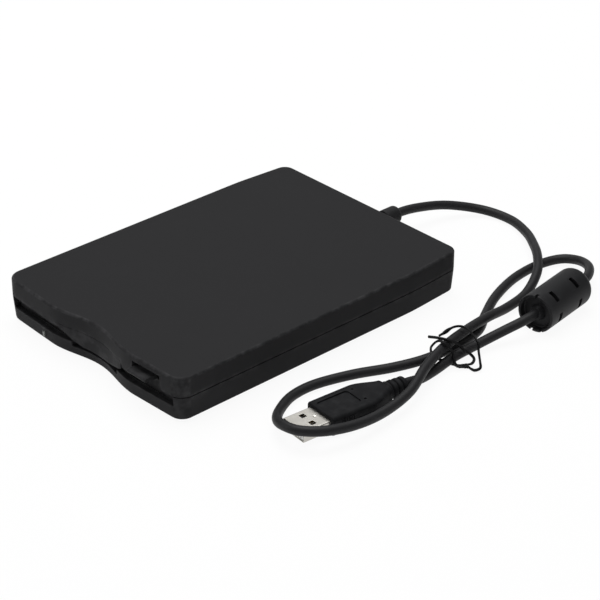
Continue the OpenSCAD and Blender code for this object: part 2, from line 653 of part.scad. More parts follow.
travel = track_out_r - track_in_r;
head_y = spin_y + track_out_r;
block_y0 = disk_rear + 2.2 + travel;
block_x0 = -8;
block_y1 = block_y0 + 9;
arm_pivot_y = block_y0 + 5;
arm_z = bay_top + sheet_t + 0.7;
rod_x0 = 12;
rod_z = base_z + 3.4;
lead_x = -16;
lead_z = base_z + 3.9;
stepper_y = block_y1 - 3.6;
module head_carriage() color([0.3, 0.3, 0.32]) {
    nut_y = block_y0 + 2.2;
    difference() {
        union() {
            // tongue under the disk
            box(-6, 6, head_y - 5, block_y0 + 1, base_z + 0.6, base_z + 1.7);
            box(block_x0, rod_x0, block_y0, block_y1, base_z + 0.6, base_z + 3.6);
            rod_y(rod_r + 1.4, rod_x0, block_y0, block_y1, rod_z);
            // tower that carries the upper arm
            both() box(5.4, 7.4, arm_pivot_y - 2.2, arm_pivot_y + 2.2, base_z + 3, arm_z + 1.2);
            // arm that reaches the lead screw
            box(lead_x - 1, block_x0 + 1, nut_y, nut_y + 2, base_z + 0.6, base_z + 1.7);
        }
        rod_y(rod_r + running_fit, rod_x0, block_y0 - 1, block_y1 + 1, rod_z);
        rod_x(0.8 + running_fit, -9, 9, arm_pivot_y, arm_z + 0.1);
        translate([0, head_y, base_z]) cylinder(r = 2, h = 3);
    }
    // tooth in the screw's groove
    rod(0.4, lead_x, nut_y + 1, base_z + 1.6, lead_z - 1.15);
}
module lower_head() color([0.6, 0.6, 0.62]) {
    rod(2, 0, head_y, base_z + 0.7, base_z + 2.6);
    box(-1.2, 1.2, head_y - 1.4, head_y + 1.4, base_z + 2.6, bay_z - 0.5);
}
module head_arm() color([0.34, 0.34, 0.36]) {
    difference() {
        union() {
            box(-4.8, 4.8, head_y + 8, arm_pivot_y + 2, arm_z - 0.4, arm_z + 0.5);
            slab([[-2.6, head_y - 3], [2.6, head_y - 3], [4.8, head_y + 8.5], [-4.8, head_y + 8.5]],
                arm_z - 0.4, arm_z + 0.5);
            rod_x(1.1, -4.8, 4.8, arm_pivot_y, arm_z + 0.1);
        }
        translate([0, head_y, arm_z - 1]) cylinder(r = 1.5, h = 3);
        box(-2, 2, head_y + 12, head_y + 20, arm_z - 1, arm_z + 1);
    }
    rod_x(0.8, -7.2, 7.2, arm_pivot_y, arm_z + 0.1);
}
module upper_head() color([0.6, 0.6, 0.62]) {
    rod(1.5, 0, head_y, arm_z - 0.4, arm_z + 0.7);
    box(-1.2, 1.2, head_y - 1.4, head_y + 1.4, bay_top + 0.1, arm_z - 0.4);
}
rod_y0 = disk_rear + 0.6;
rod_y1 = frame_rear - side_t;
module guide_rod() color([0.85, 0.85, 0.87]) rod_y(rod_r, rod_x0, rod_y0, rod_y1, rod_z);
module rod_clamps() color([0.5, 0.5, 0.5]) difference() {
    for (y = [rod_y0, rod_y1 - 1.4])
        box(rod_x0 - 2.2, rod_x0 + 2.2, y, y + 1.4, base_z, rod_z + rod_r + 0.4);
    rod_y(rod_r, rod_x0, rod_y0 - 1, rod_y1 + 1, rod_z);
}

// Lead screw: each section is a disc with one lobe, turned a little further each time
screw_core = 0.95;
screw_crest = 1.45;
thread_y0 = disk_rear + 3;
function screw_section(y, n) = let (turn = 360 * (y - thread_y0) / screw_pitch)
    [for (k = [0:n - 1]) let (a = -360 * k / n, lobe = max(0, cos(a - turn + groove_turn)),
        r = screw_core + (screw_crest - screw_core) * min(1, 2.2 * lobe))
        [lead_x + r * cos(a), y, lead_z + r * sin(a)]];
// the groove faces down where the carriage's tooth stands
groove_turn = 360 * (block_y0 + 3.2 - thread_y0) / screw_pitch - 90;
module lead_screw() color([0.8, 0.8, 0.82]) {
    steps = ceil((stepper_y - 0.6 - thread_y0) / screw_pitch * 8);
    loft([for (i = [0:steps]) screw_section(thread_y0 + (stepper_y - 0.6 - thread_y0) * i / steps, 14)]);
    rod_y(0.7, lead_x, thread_y0 - 1.6, thread_y0 + 0.1, lead_z);
    rod_y(0.7, lead_x, stepper_y - 0.7, stepper_y + 7, lead_z);
}
module screw_bearing() color([0.25, 0.25, 0.26]) difference() {
    box(lead_x - 2, lead_x + 2, thread_y0 - 1.8, thread_y0 - 0.3, base_z, lead_z + 1.4);
    rod_y(0.7 + running_fit, lead_x, thread_y0 - 3, thread_y0 + 1, lead_z);
}
module stepper_motor() color([0.68, 0.69, 0.7]) difference() {
    union() {
        rod_y(3.7, lead_x, stepper_y + 0.6, stepper_y + 7.6, lead_z);
        box(lead_x - 5.2, lead_x + 5.2, stepper_y, stepper_y + 0.6, base_z, lead_z + 3);
    }
    rod_y(0.7 + running_fit, lead_x, stepper_y - 1, stepper_y + 7.1, lead_z);
}

// ---- Drive board and its switches ----

board_x0 = -(mech_w / 2 - side_t - 5);
board_rear = frame_rear - 3;
// inner edge at the rear, clear of the stepping motor
board_x1 = lead_x - 6;
board_seats = [[board_x0 + 3, board_front + 3], [-board_x0 - 3, board_front + 3],
    [board_x0 + 3, lever_c[1] - 13.4], [board_x1 - 2.5, board_rear - 9]];
switch_y = board_front + 6;
module drive_board() color([0.1, 0.35, 0.2]) difference() {
    slab([[board_x0, board_front], [-board_x0, board_front], [-board_x0, board_front + 12],
        [-rotor_r - 2, board_front + 12], [-rotor_r - 4, spin_y], [board_x1, board_rear - 12],
        [board_x1, board_rear], [board_x0 + 2, board_rear],
        [board_x0 + 2, lever_c[1] + 4], [board_x0 + 6, lever_c[1] + 2], [board_x0 + 6, lever_c[1] - 4],
        [board_x0, lever_c[1] - 6]],
        board_z, board_z + board_t);
    for (p = board_seats) rod(0.7, p[0], p[1], board_z - 1, board_z + 2);
    for (s = switches) rod(1, s[0], s[1], board_z - 1, board_z + 2);
    // room for the frame's screws
    for (p = frame_screws) rod(2.2, p[0], p[1], board_z - 1, board_z + 2);
}
chip_z = board_z + board_t;
module chip(x, y, w, l, t) box(board_x0 + x, board_x0 + x + w, spin_y + y, spin_y + y + l, chip_z, chip_z + t);
module board_chips() color([0.08, 0.08, 0.09]) {
    chip(5, 3, 10, 10, 0.8);
    chip(6, 19, 7, 7, 0.8);
    chip(8, -15, 6, 5, 0.7);
    for (i = [0:5]) chip(4 + 2.2 * i, 30, 1.2, 2, 0.5);
    for (i = [0:4]) chip(-board_x0 - rotor_r - 7, 9 + 3 * i, 1.2, 2, 0.5);
}

// Write protect, density and presence, as [x, y]
switches = [[-(disk_w / 2 - 7.6), switch_y], [disk_w / 2 - 7.6, switch_y], [-(disk_w / 2 - 16), switch_y]];
plunger_r = 0.8;
plunger_press = 1.1;
plunger_top = bay_z - 1;
module sensor_switches() color([0.2, 0.2, 0.22]) difference() {
    for (s = switches) box(s[0] - 2, s[0] + 2, s[1] - 1.8, s[1] + 1.8, chip_z, chip_z + 1.1);
    for (s = switches) rod(plunger_r + running_fit, s[0], s[1], chip_z - 1, chip_z + 3);
}
module plunger(s) rod(plunger_r, s[0], s[1], board_z + 0.9, plunger_top);
module protect_plunger() color([0.9, 0.9, 0.88]) plunger(switches[0]);
module density_plunger() color([0.9, 0.9, 0.88]) plunger(switches[1]);
module presence_plunger() color([0.9, 0.9, 0.88]) plunger(switches[2]);

// ---- USB board ----

usb_board_y = [frame_rear + 1.4, rear_y - flange_in - 2.4];
usb_board_z = floor_z + 1.3;
usb_x0 = -(mech_w / 2 - 8);
usb_x1 = mech_w / 2 - 14;
usb_seats = [for (x = [usb_x0 + 18.5, usb_x1 - 3]) [x, usb_board_y[0] + 2.4]];
ribbon_x = usb_x0 + 8.5;
socket_half = 6.6;
module usb_board() color([0.1, 0.35, 0.2]) difference() {
    box(usb_x0, usb_x1, usb_board_y[0], usb_board_y[1], usb_board_z, usb_board_z + 1);
    for (p = usb_seats) rod(1.1, p[0], p[1], usb_board_z - 1, usb_board_z + 2);
}
module usb_chip() color([0.08, 0.08, 0.09])
    box(usb_x0 + 24, usb_x0 + 30, usb_board_y[0] + 0.3, usb_board_y[0] + 6.1, usb_board_z + 1, usb_board_z + 2.2);
module usb_crystal() color([0.75, 0.76, 0.78])
    bar([usb_x1 - 20, usb_board_y[0] + 3.4], [usb_x1 - 14, usb_board_y[0] + 3.4], 1.9, usb_board_z + 1, usb_board_z + 4);
module ribbon_sockets() color([0.85, 0.83, 0.76]) {
    box(ribbon_x - socket_half, ribbon_x + socket_half, board_rear - 4, board_rear - 1, chip_z, chip_z + 1.4);
    box(ribbon_x - socket_half, ribbon_x + socket_half, usb_board_y[0] + 1.4, usb_board_y[0] + 4.4,
        usb_board_z + 1, usb_board_z + 2.4);
}
module ribbon_cable() color([0.92, 0.92, 0.9]) translate([ribbon_x - 6, 0, 0]) rotate([90, 0, 90])
    linear_extrude(12) {
        y0 = board_rear - 1;
        y1 = usb_board_y[0] + 1.4;
        z0 = chip_z + 0.5;
        z1 = usb_board_z + 1.5;
        polygon([[y0, z0], [y0 + 1.5, z0], [y1 - 1, z1], [y1, z1], [y1, z1 + 0.3], [y1 - 1, z1 + 0.3],
            [y0 + 1.5, z0 + 0.3], [y0, z0 + 0.3]]);
    }
module wire_header() color([0.9, 0.9, 0.88])
    box(-5, 5, usb_board_y[1] - 3.4, usb_board_y[1] - 0.6, usb_board_z + 1, usb_board_z + 3.6);
core_colours = ["red", "white", "green", "black"];
module core_wires()
    for (i = [0:3]) color(core_colours[i])
        rod_y(0.45, -3 + 2 * i, usb_board_y[1] - 0.6, rear_y - flange_in - 1.6, usb_board_z + 2.4);

// ---- Strain relief, lead, bead, tie and plug ----

bead_in = [87, 101.5, 7.8];
bead_out = [91.5, 72.3, 7.8];
boot_end = [89.2, 5.1, 4.1];
// Route of the lead from the strain relief to the ferrite bead, round the plug's mouth
lead_route = [
    [0, 89, 9.5], [0.8, 101, 8.4], [4, 115, 5.8], [13, 127, 2.8], [26, 129.8, 2.2], [39, 125, 3.2],
    [50, 117.3, 4.9], [59.5, 109.2, 6], [67.5, 100, 5.2], [72.8, 88, 2.8], [75.8, 74, 3.2], [79.2, 59, 6.2],
    [81.6, 44.5, 7.2], [84.4, 30.5, 7.3], [89.6, 15.5, 7.1], [96, 1, 5.7], [98.6, -14, 5], [99.2, -28, 6.1],
    [96.6, -40, 7.4], [91, -47.4, 7.9], [84, -48.8, 7.2], [76.6, -45.6, 4.8], [70, -38.5, 2.6],
    [65.4, -28.5, 2], [65.2, -17, 2], [69.6, -2, 2], [76.4, 12, 2.3], [81.2, 24.5, 3.1], [82.1, 40, 3.2],
    [79.8, 53.5, 2.7], [72.8, 65, 2.1], [65.6, 78.5, 2], [60.6, 94.5, 2], [59.6, 109.5, 2],
    [62.8, 119.4, 2.4], [70.4, 121.8, 3.9], [79.4, 117.2, 6.4], [85.4, 109.4, 7.6], bead_in];
// Route from the bead to the plug's boot
tail_route = [bead_out, [91.4, 66, 7.2], [88.9, 57.5, 5], [87.2, 46, 3.4], [87.2, 33, 3.1],
    [88.2, 22, 2.4], [88.9, 13.5, 2.5], boot_end];
bead_dir = unit(bead_out - bead_in);
plug_turn = 5;
plug_dir = [sin(plug_turn), cos(plug_turn), 0];

module strain_relief() color([0.12, 0.12, 0.13])
    translate([0, rear_y, relief_z]) rotate([-90, 0, 0]) rotate_extrude() {
        r = relief_r;
        polygon(concat(
            [[0, -flange_in - 1.6], [r + 0.7, -flange_in - 1.6], [r + 0.7, -flange_in], [r - 0.7, -flange_in],
                [r - 0.7, 0.1], [r, 0.1], [r, 1.4], [r - 1.3, 1.7], [r - 1.3, 2.5], [r, 2.8], [r, 4.6],
                [r - 0.9, 4.9], [r - 0.9, 5.6], [r, 5.9]],
            [for (a = [0:15:90]) [r - 2.6 + 2.6 * cos(a), relief_l - 2.6 + 2.6 * sin(a)]],
            [[0, relief_l]]));
    }
module usb_lead() color([0.14, 0.14, 0.15])
    tube(spline(lead_route, 2, [0, 1, 0], bead_dir), lead_d / 2, 8, [0, 1, 0], bead_dir);
module lead_tail() color([0.14, 0.14, 0.15])
    tube(spline(tail_route, 2, bead_dir, -plug_dir), lead_d / 2, 8, bead_dir, -plug_dir);

module ferrite_bead() color([0.15, 0.15, 0.16]) {
    l = norm(bead_out - bead_in);
    translate(bead_in) rotate([-90, 0, atan2(-bead_dir[0], bead_dir[1])]) difference() {
        rotate_extrude() polygon(concat([[0, 0]],
            [for (t = [0:15:90]) [bead_r - 1.6 + 1.6 * sin(t), 1.6 - 1.6 * cos(t)]],
            [[bead_r, l - 0.8], [bead_r - 0.8, l], [0, l]]));
        for (z = [4.6, l - 6.8], k = [0:5]) rotate([0, 0, 60 * k + 20]) translate([bead_r - 0.7, -2.1, z])
            cube([2, 4.2, 1.2]);
    }
}

// The wire tie: over the bundle, twisted at its right, back over it, under it, and up in a free loop
tie_route = [[77.4, 29.1, 9], [81.8, 29.9, 10.1], [84.7, 31.5, 9.9], [86.4, 33.5, 8.8], [87.8, 35.1, 7.3],
    [89.6, 36.2, 5.4], [91.2, 37.7, 3.9], [93, 37.6, 2.8], [93.9, 35.5, 2.2], [92.9, 33.3, 2], [91.6, 31.4, 2],
    [90.7, 30.1, 2.6], [89.8, 30.2, 4.3], [88.4, 31, 6.1], [87.3, 30.1, 8.2], [85.8, 28.8, 9.9], [83.6, 29, 10],
    [82, 28.7, 9.1], [80.3, 28.5, 7], [78.9, 29, 4.6], [78.8, 29.8, 1.8], [80.8, 30.4, 0.7], [84.5, 31, 0.66],
    [88, 31.8, 0.58], [90.8, 32.3, 0.62], [93.1, 34.3, 0.7], [94.9, 34.2, 0.75], [96.6, 34.5, 0.85],
    [97.4, 36.4, 1.5], [95.9, 37.7, 3.2], [93.6, 39.2, 6], [92, 40.5, 8.2], [87.6, 41.5, 10.2],
    [84.3, 41.8, 10.7], [82, 41, 10.8], [80.4, 39, 10.4], [80, 35.6, 9.7], [79.8, 32.4, 9.2]];
tie_start = unit([1, 0.3, 0.2]);
tie_end = unit([-0.1, -1, -0.1]);
module twist_tie() color([0.05, 0.05, 0.05])
    tube(spline(tie_route, 2, tie_start, tie_end), tie_r, 6, tie_start, tie_end);

// Plug, drawn with its mouth at the origin and its axis along +Y
plug_mouth = boot_end - plug_dir * (shell_l + 38.8);
module at_plug() translate(plug_mouth) rotate([0, 0, -plug_turn]) children();
function round_rect(w, h, r, y) = [for (c = [[1, -1, -90], [1, 1, 0], [-1, 1, 90], [-1, -1, 180]], k = [0:3])
    let (a = c[2] + 30 * k) [-(c[0] * (w / 2 - r) + r * cos(a)), y, c[1] * (h / 2 - r) + r * sin(a)]];
// along the moulding: distance from its front, change of width, change of height
plug_stations = [[0, -0.5, 0], [0.5, 0, 0], [19, 0, 0], [22.5, -1.2, -0.1], [27, -5.6, -0.3], [29.6, -6.2, -0.4]];
module plug_moulding() color([0.14, 0.14, 0.15]) at_plug() difference() {
    union() {
        loft([for (s = plug_stations) round_rect(plug_w + s[1], plug_h + s[2] + s[1] / 14, 1.6, shell_l + s[0])]);
        // boot with its ribs
        for (k = [0:3]) rod_y(3.7 - 0.15 * k, 0, shell_l + 29.4 + 2.4 * k, shell_l + 31 + 2.4 * k, 0);
        rod_y(2.6, 0, shell_l + 29, shell_l + 38.8, 0);
        // grip ribs on both sides
        both() for (k = [0:5]) box(plug_w / 2 - 0.3, plug_w / 2 + 0.25,
            shell_l + 3.4 + 1.5 * k, shell_l + 4.1 + 1.5 * k, -2, 2);
    }
    box(-shell_w / 2, shell_w / 2, shell_l - 1, shell_l + 6, -shell_h / 2, shell_h / 2);
    // shallow panel on the upper face
    box(-4.6, 4.6, shell_l + 1.4, shell_l + 13.4, plug_h / 2 - 0.25, plug_h);
}
module plug_shell() color([0.78, 0.78, 0.76]) at_plug() difference() {
    box(-shell_w / 2, shell_w / 2, 0, shell_l + 6, -shell_h / 2, shell_h / 2);
    box(-shell_w / 2 + 0.3, shell_w / 2 - 0.3, -1, shell_l + 5, -shell_h / 2 + 0.3, shell_h / 2 - 0.3);
    for (x = [-3.9, 1.6]) box(x, x + 2.3, 5.1, 7.3, -5, 5);
}
module plug_tongue() color([0.9, 0.9, 0.88]) at_plug()
    box(-shell_w / 2 + 0.3, shell_w / 2 - 0.3, 0.4, shell_l + 5, -shell_h / 2 + 0.3, -shell_h / 2 + 2.1);
module plug_contacts() color([0.85, 0.7, 0.35]) at_plug()
    for (x = [-3.5, -1, 1, 3.5]) box(x - 0.5, x + 0.5, 1.2, shell_l + 4, -shell_h / 2 + 2.1, -shell_h / 2 + 2.3);

top_cover();
bottom_cover();
rubber_feet();
case_screws();
led_light_pipe();
slot_bezel();
slot_flap();
flap_spring();
eject_button();
eject_slide();
eject_springs();
disk_holder();
holder_pins();
drive_frame();
drive_shield();
trigger_lever();
lever_spring();
spindle_bearing();
stator_core();
stator_coils();
spindle_rotor();
rotor_magnet();
chuck_plate();
drive_pin();
head_carriage();
lower_head();
head_arm();
upper_head();
guide_rod();
rod_clamps();
lead_screw();
screw_bearing();
stepper_motor();
drive_board();
board_chips();
sensor_switches();
protect_plunger();
density_plunger();
presence_plunger();
usb_board();
usb_chip();
usb_crystal();
ribbon_cable();
ribbon_sockets();
wire_header();
core_wires();
strain_relief();
usb_lead();
lead_tail();
ferrite_bead();
twist_tie();
plug_moulding();
plug_shell();
plug_tongue();
plug_contacts();
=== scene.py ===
"""Looks of an external floppy disk drive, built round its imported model.

Lengths in the code are in millimetres, in the part's own frame: X runs across the front,
the disk goes in towards +Y, and Z = 0 is the table. MM turns them into Blender's metres.
"""

import json
import math

import bmesh
import bpy
from mathutils import Matrix, Vector

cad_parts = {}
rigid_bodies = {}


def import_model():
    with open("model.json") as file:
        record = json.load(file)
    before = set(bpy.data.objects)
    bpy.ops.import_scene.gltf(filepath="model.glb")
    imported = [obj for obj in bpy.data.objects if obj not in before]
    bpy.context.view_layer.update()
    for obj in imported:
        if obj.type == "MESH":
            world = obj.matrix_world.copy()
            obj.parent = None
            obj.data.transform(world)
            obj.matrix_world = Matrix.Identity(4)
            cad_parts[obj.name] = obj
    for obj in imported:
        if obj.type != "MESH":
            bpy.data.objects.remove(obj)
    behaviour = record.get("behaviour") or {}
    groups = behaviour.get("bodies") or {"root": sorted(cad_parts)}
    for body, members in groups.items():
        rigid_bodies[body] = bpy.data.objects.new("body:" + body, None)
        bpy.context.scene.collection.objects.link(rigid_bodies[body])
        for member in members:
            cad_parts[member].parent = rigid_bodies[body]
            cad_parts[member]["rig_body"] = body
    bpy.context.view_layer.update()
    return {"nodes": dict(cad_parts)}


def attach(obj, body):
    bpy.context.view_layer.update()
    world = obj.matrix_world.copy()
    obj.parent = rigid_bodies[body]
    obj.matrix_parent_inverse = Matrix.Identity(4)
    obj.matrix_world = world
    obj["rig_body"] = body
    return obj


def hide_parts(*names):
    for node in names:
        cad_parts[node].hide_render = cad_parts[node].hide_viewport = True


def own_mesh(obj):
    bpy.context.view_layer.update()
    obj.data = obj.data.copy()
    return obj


bl_info = {
    "name": "Floppy Drive Looks",
    "version": (1, 0, 0),
    "blender": (4, 5, 0),
    "location": "3D View > Sidebar > Drive",
    "description": "Builds the visible pieces of an external floppy disk drive",
    "category": "Object",
}

MM = 0.001
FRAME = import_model()

# ---- Sizes shared with the part's source, in millimetres ----

HALF_W = 52.0
FRONT_Y = -70.5
REAR_Y = 73.0
FRONT_R = 6.0
REAR_R = 4.5
CORNER_X = HALF_W - FRONT_R
WAVE_X = 1.0
TAPER_Y = 43.5
TAPER_R = 120.0
TAPER_DEG = 4.2
CASE_Z0 = 1.0
CASE_Z1 = 19.0
SEAM_Z = 10.85
FLOOR_Z = 2.7
CEILING_Z = 17.3
UPPER_WALL = 1.7
LOWER_WALL = 2.5
DRAFT = 0.8
SLOT_HALF = 47.5
SLOT_TOP = 12.6
LIP_Z = 6.8
THUMB = (-12.5, 14.5, 5.5)  # from x, to x, lower edge
NOTCH = (26.3, 41.0, 16.6)  # from x, to x, upper edge
LED = (-28.65, -27.35, 2.8, 4.8)  # from x, to x, lower edge, upper edge
FLAP_Y = -66.9
FLAP_T = 0.8
FLAP_HALF = 46.6
FLAP_FACE = [  # x and lower edge of the flap's raised middle
    (-18.6, 11.2), (-16.5, 10.3), (-14.4, 9.4), (-10.9, 7.5), (-6.7, 6.35), (0.0, 6.1), (4.0, 6.1),
    (8.0, 6.4), (11.8, 7.2), (17.2, 8.8), (19.0, 9.8),
]
HINGE = (-66.6, 12.0)  # y and z of the flap's axis
RELIEF_Z = 9.5
RELIEF_R = 5.1
FLANGE_IN = 2.6
REAR_SCREWS = [(45.0, 65.0), (-45.0, 65.0)]
FRAME_SCREWS = [(s * 44.5, y) for s in (-1, 1) for y in (-40.0, 50.0)]
FEET = [(s * x, y) for s in (-1, 1) for x, y in ((40.0, -57.0), (38.0, 60.0))]

BEAD_IN = Vector((87, 101.5, 7.8))
BEAD_OUT = Vector((91.5, 72.3, 7.8))
BEAD_DIR = (BEAD_OUT - BEAD_IN).normalized()
BOOT_END = Vector((89.2, 5.1, 4.1))
PLUG_TURN = math.radians(5)
PLUG_DIR = Vector((math.sin(PLUG_TURN), math.cos(PLUG_TURN), 0))
SHELL_L = 11.8
SHELL_W = 12.0
SHELL_H = 4.5
MOULDING_L = 38.8
PLUG_MOUTH = BOOT_END - PLUG_DIR * (SHELL_L + MOULDING_L)

LEAD_ROUTE = [
    (0, 89, 9.5), (0.8, 101, 8.4), (4, 115, 5.8), (13, 127, 2.8), (26, 129.8, 2.2), (39, 125, 3.2),
    (50, 117.3, 4.9), (59.5, 109.2, 6), (67.5, 100, 5.2), (72.8, 88, 2.8), (75.8, 74, 3.2), (79.2, 59, 6.2),
    (81.6, 44.5, 7.2), (84.4, 30.5, 7.3), (89.6, 15.5, 7.1), (96, 1, 5.7), (98.6, -14, 5), (99.2, -28, 6.1),
    (96.6, -40, 7.4), (91, -47.4, 7.9), (84, -48.8, 7.2), (76.6, -45.6, 4.8), (70, -38.5, 2.6),
    (65.4, -28.5, 2), (65.2, -17, 2), (69.6, -2, 2), (76.4, 12, 2.3), (81.2, 24.5, 3.1), (82.1, 40, 3.2),
    (79.8, 53.5, 2.7), (72.8, 65, 2.1), (65.6, 78.5, 2), (60.6, 94.5, 2), (59.6, 109.5, 2),
    (62.8, 119.4, 2.4), (70.4, 121.8, 3.9), (79.4, 117.2, 6.4), (85.4, 109.4, 7.6), tuple(BEAD_IN),
]
TAIL_ROUTE = [
    tuple(BEAD_OUT), (91.4, 66, 7.2), (88.9, 57.5, 5), (87.2, 46, 3.4), (87.2, 33, 3.1),
    (88.2, 22, 2.4), (88.9, 13.5, 2.5), tuple(BOOT_END),
]
TIE_ROUTE = [
    (77.4, 29.1, 9), (81.8, 29.9, 10.1), (84.7, 31.5, 9.9), (86.4, 33.5, 8.8), (87.8, 35.1, 7.3),
    (89.6, 36.2, 5.4), (91.2, 37.7, 3.9), (93, 37.6, 2.8), (93.9, 35.5, 2.2), (92.9, 33.3, 2),
    (91.6, 31.4, 2), (90.7, 30.1, 2.6), (89.8, 30.2, 4.3), (88.4, 31, 6.1), (87.3, 30.1, 8.2),
    (85.8, 28.8, 9.9), (83.6, 29, 10), (82, 28.7, 9.1), (80.3, 28.5, 7), (78.9, 29, 4.6), (78.8, 29.8, 1.8),
    (80.8, 30.4, 0.7), (84.5, 31, 0.66), (88, 31.8, 0.58), (90.8, 32.3, 0.62), (93.1, 34.3, 0.7),
    (94.9, 34.2, 0.75), (96.6, 34.5, 0.85),
    (97.4, 36.4, 1.5), (95.9, 37.7, 3.2), (93.6, 39.2, 6), (92, 40.5, 8.2), (87.6, 41.5, 10.2),
    (84.3, 41.8, 10.7), (82, 41, 10.8), (80.4, 39, 10.4), (80, 35.6, 9.7), (79.8, 32.4, 9.2),
]
TIE_START = Vector((1, 0.3, 0.2)).normalized()
TIE_END = Vector((-0.1, -1, -0.1)).normalized()

# ---- Scales of the surface patterns, in repeats per metre ----

MOTTLE_SCALE = 45.0
# Patches along edges that are painted lighter, partly as worn spots and partly as a painted highlight
SCUFF_AND_HIGHLIGHT_SCALE = 260.0
TRACK_SCALE = 260.0
VIA_SCALE = 210.0


# ---- Sizes and colours that a user would change ----


def length(name, description, default):
    return bpy.props.FloatProperty(
        name=name, description=description, default=default, unit="LENGTH", precision=5)


def colour(name, description, default):
    return bpy.props.FloatVectorProperty(
        name=name, description=description, default=default, size=3, subtype="COLOR", min=0, max=1)


class DriveSizes(bpy.types.PropertyGroup):
    """Sizes of the visible pieces."""

    wave_depth: length("Wave depth", "Depth of the hollow in the middle of the front", 0.0036)
    wave_half: length("Wave half width", "Half the width of the hollow", 0.024)
    front_bow: length("Front bow", "How far the front falls back towards its corners", 0.00095)
    top_edge: length("Top edge radius", "Radius along the top edge of the upper shell", 0.001)
    bottom_edge: length("Bottom edge radius", "Radius along the bottom edge of the lower shell", 0.0011)
    slot_rim: length("Slot rim radius", "Radius along the edges of the disk slot", 0.00035)
    lead_width: length("Lead diameter", "Diameter of the lead", 0.0038)
    bead_radius: length("Bead radius", "Radius of the ferrite bead", 0.0078)


class DriveColours(bpy.types.PropertyGroup):
    """Colours of the visible pieces."""

    case: colour("Case", "Moulded plastic of the two shells", (0.0195, 0.0194, 0.0205))
    front: colour("Flap and button", "Plastic of the flap, button and bezel", (0.0195, 0.0194, 0.0205))
    lead: colour("Lead", "Jacket of the lead", (0.0125, 0.0125, 0.0135))
    plug: colour("Plug", "Moulding of the plug and the bead", (0.0105, 0.0107, 0.0117))
    tie: colour("Tie", "Plastic of the wire tie", (0.004, 0.004, 0.0045))
    nickel: colour("Plug shell", "Plated steel of the plug", (0.5, 0.485, 0.45))
    floor: colour("Floor", "Pale floor", (0.86, 0.86, 0.86))


def sizes():
    return bpy.context.scene.drive_sizes


def colours():
    return bpy.context.scene.drive_colours


# ---- Node trees ----


def math_node(operation, backwards=False):
    """A method for Socket that adds one Math node."""

    def method(self, *others):
        terms = (*others, self) if backwards else (self, *others)
        return self.nodes.add("ShaderNodeMath", dict(enumerate(terms)), operation=operation)[0]

    return method


class Socket:
    """An output socket that takes part in Python sums; each sum adds its Math node."""

    def __init__(self, nodes, socket):
        self.nodes, self.socket = nodes, socket

    __add__ = math_node("ADD")
    __radd__ = math_node("ADD", True)
    __sub__ = math_node("SUBTRACT")
    __rsub__ = math_node("SUBTRACT", True)
    __mul__ = math_node("MULTIPLY")
    __truediv__ = math_node("DIVIDE")
    __lt__ = math_node("LESS_THAN")
    __abs__ = math_node("ABSOLUTE")
    cos = math_node("COSINE")
    at_least = math_node("MAXIMUM")
    at_most = math_node("MINIMUM")


class Added:
    """A node that was added; its outputs are read by name or number."""

    def __init__(self, nodes, node):
        self.nodes, self.node = nodes, node

    def __getitem__(self, key):
        return Socket(self.nodes, self.node.outputs[key])


class Nodes:
    """A node tree under construction."""

    def __init__(self, tree):
        self.tree = tree

    def add(self, kind, values=None, **settings):
        """Adds a node: its settings first, then the values or links of its sockets."""
        node = self.tree.nodes.new(kind)
        for key, value in settings.items():
            setattr(node, key, value)
        for key, value in (values or {}).items():
            for one in value if isinstance(value, list) else [value]:
                if isinstance(one, Socket):
                    self.tree.links.new(one.socket, node.inputs[key])
                else:
                    node.inputs[key].default_value = one
        return Added(self, node)

    def place(self, stretch=None):
        """Where a point lies, in metres."""
        place = self.add("ShaderNodeTexCoord")["Object"]
        return self.mapped(place, stretch) if stretch else place

    def mapped(self, place, scale):
        return self.add("ShaderNodeMapping", {"Vector": place, "Scale": scale})[0]

    def noise(self, place, scale, detail, **more):
        values = {"Vector": place, "Scale": scale, "Detail": detail, **more}
        return self.add("ShaderNodeTexNoise", values)[0]

    def bump(self, height, distance, strength):
        values = {"Height": height, "Distance": distance, "Strength": strength}
        return self.add("ShaderNodeBump", values)[0]

    def blend(self, factor, low, high):
        """A colour between two others."""
        return self.add("ShaderNodeMix", {0: factor, 6: low, 7: high}, data_type="RGBA")[2]

    def along(self, place, axis):
        return self.add("ShaderNodeSeparateXYZ", {0: place})[axis]


# ---- Finishes ----


def material(name):
    """A new material and its empty tree."""
    made = bpy.data.materials.new(name)
    made.use_nodes = True
    made.node_tree.nodes.clear()
    return made, Nodes(made.node_tree)


def closed(made, nodes, values):
    """Ends a material's tree in one surface shader with these values."""
    shader = nodes.add("ShaderNodeBsdfPrincipled", values)[0]
    nodes.add("ShaderNodeOutputMaterial", {"Surface": shader})
    return made


def times(base, factor, more=0.0):
    """A colour times a factor, no brighter than white."""
    return (*[min(1, c * factor + more) for c in base], 1)


def shaded(base, factor, low, high):
    """A colour that goes from low times the base to high times the base with the factor."""
    return factor.nodes.blend(factor, times(base, low), times(base, high))


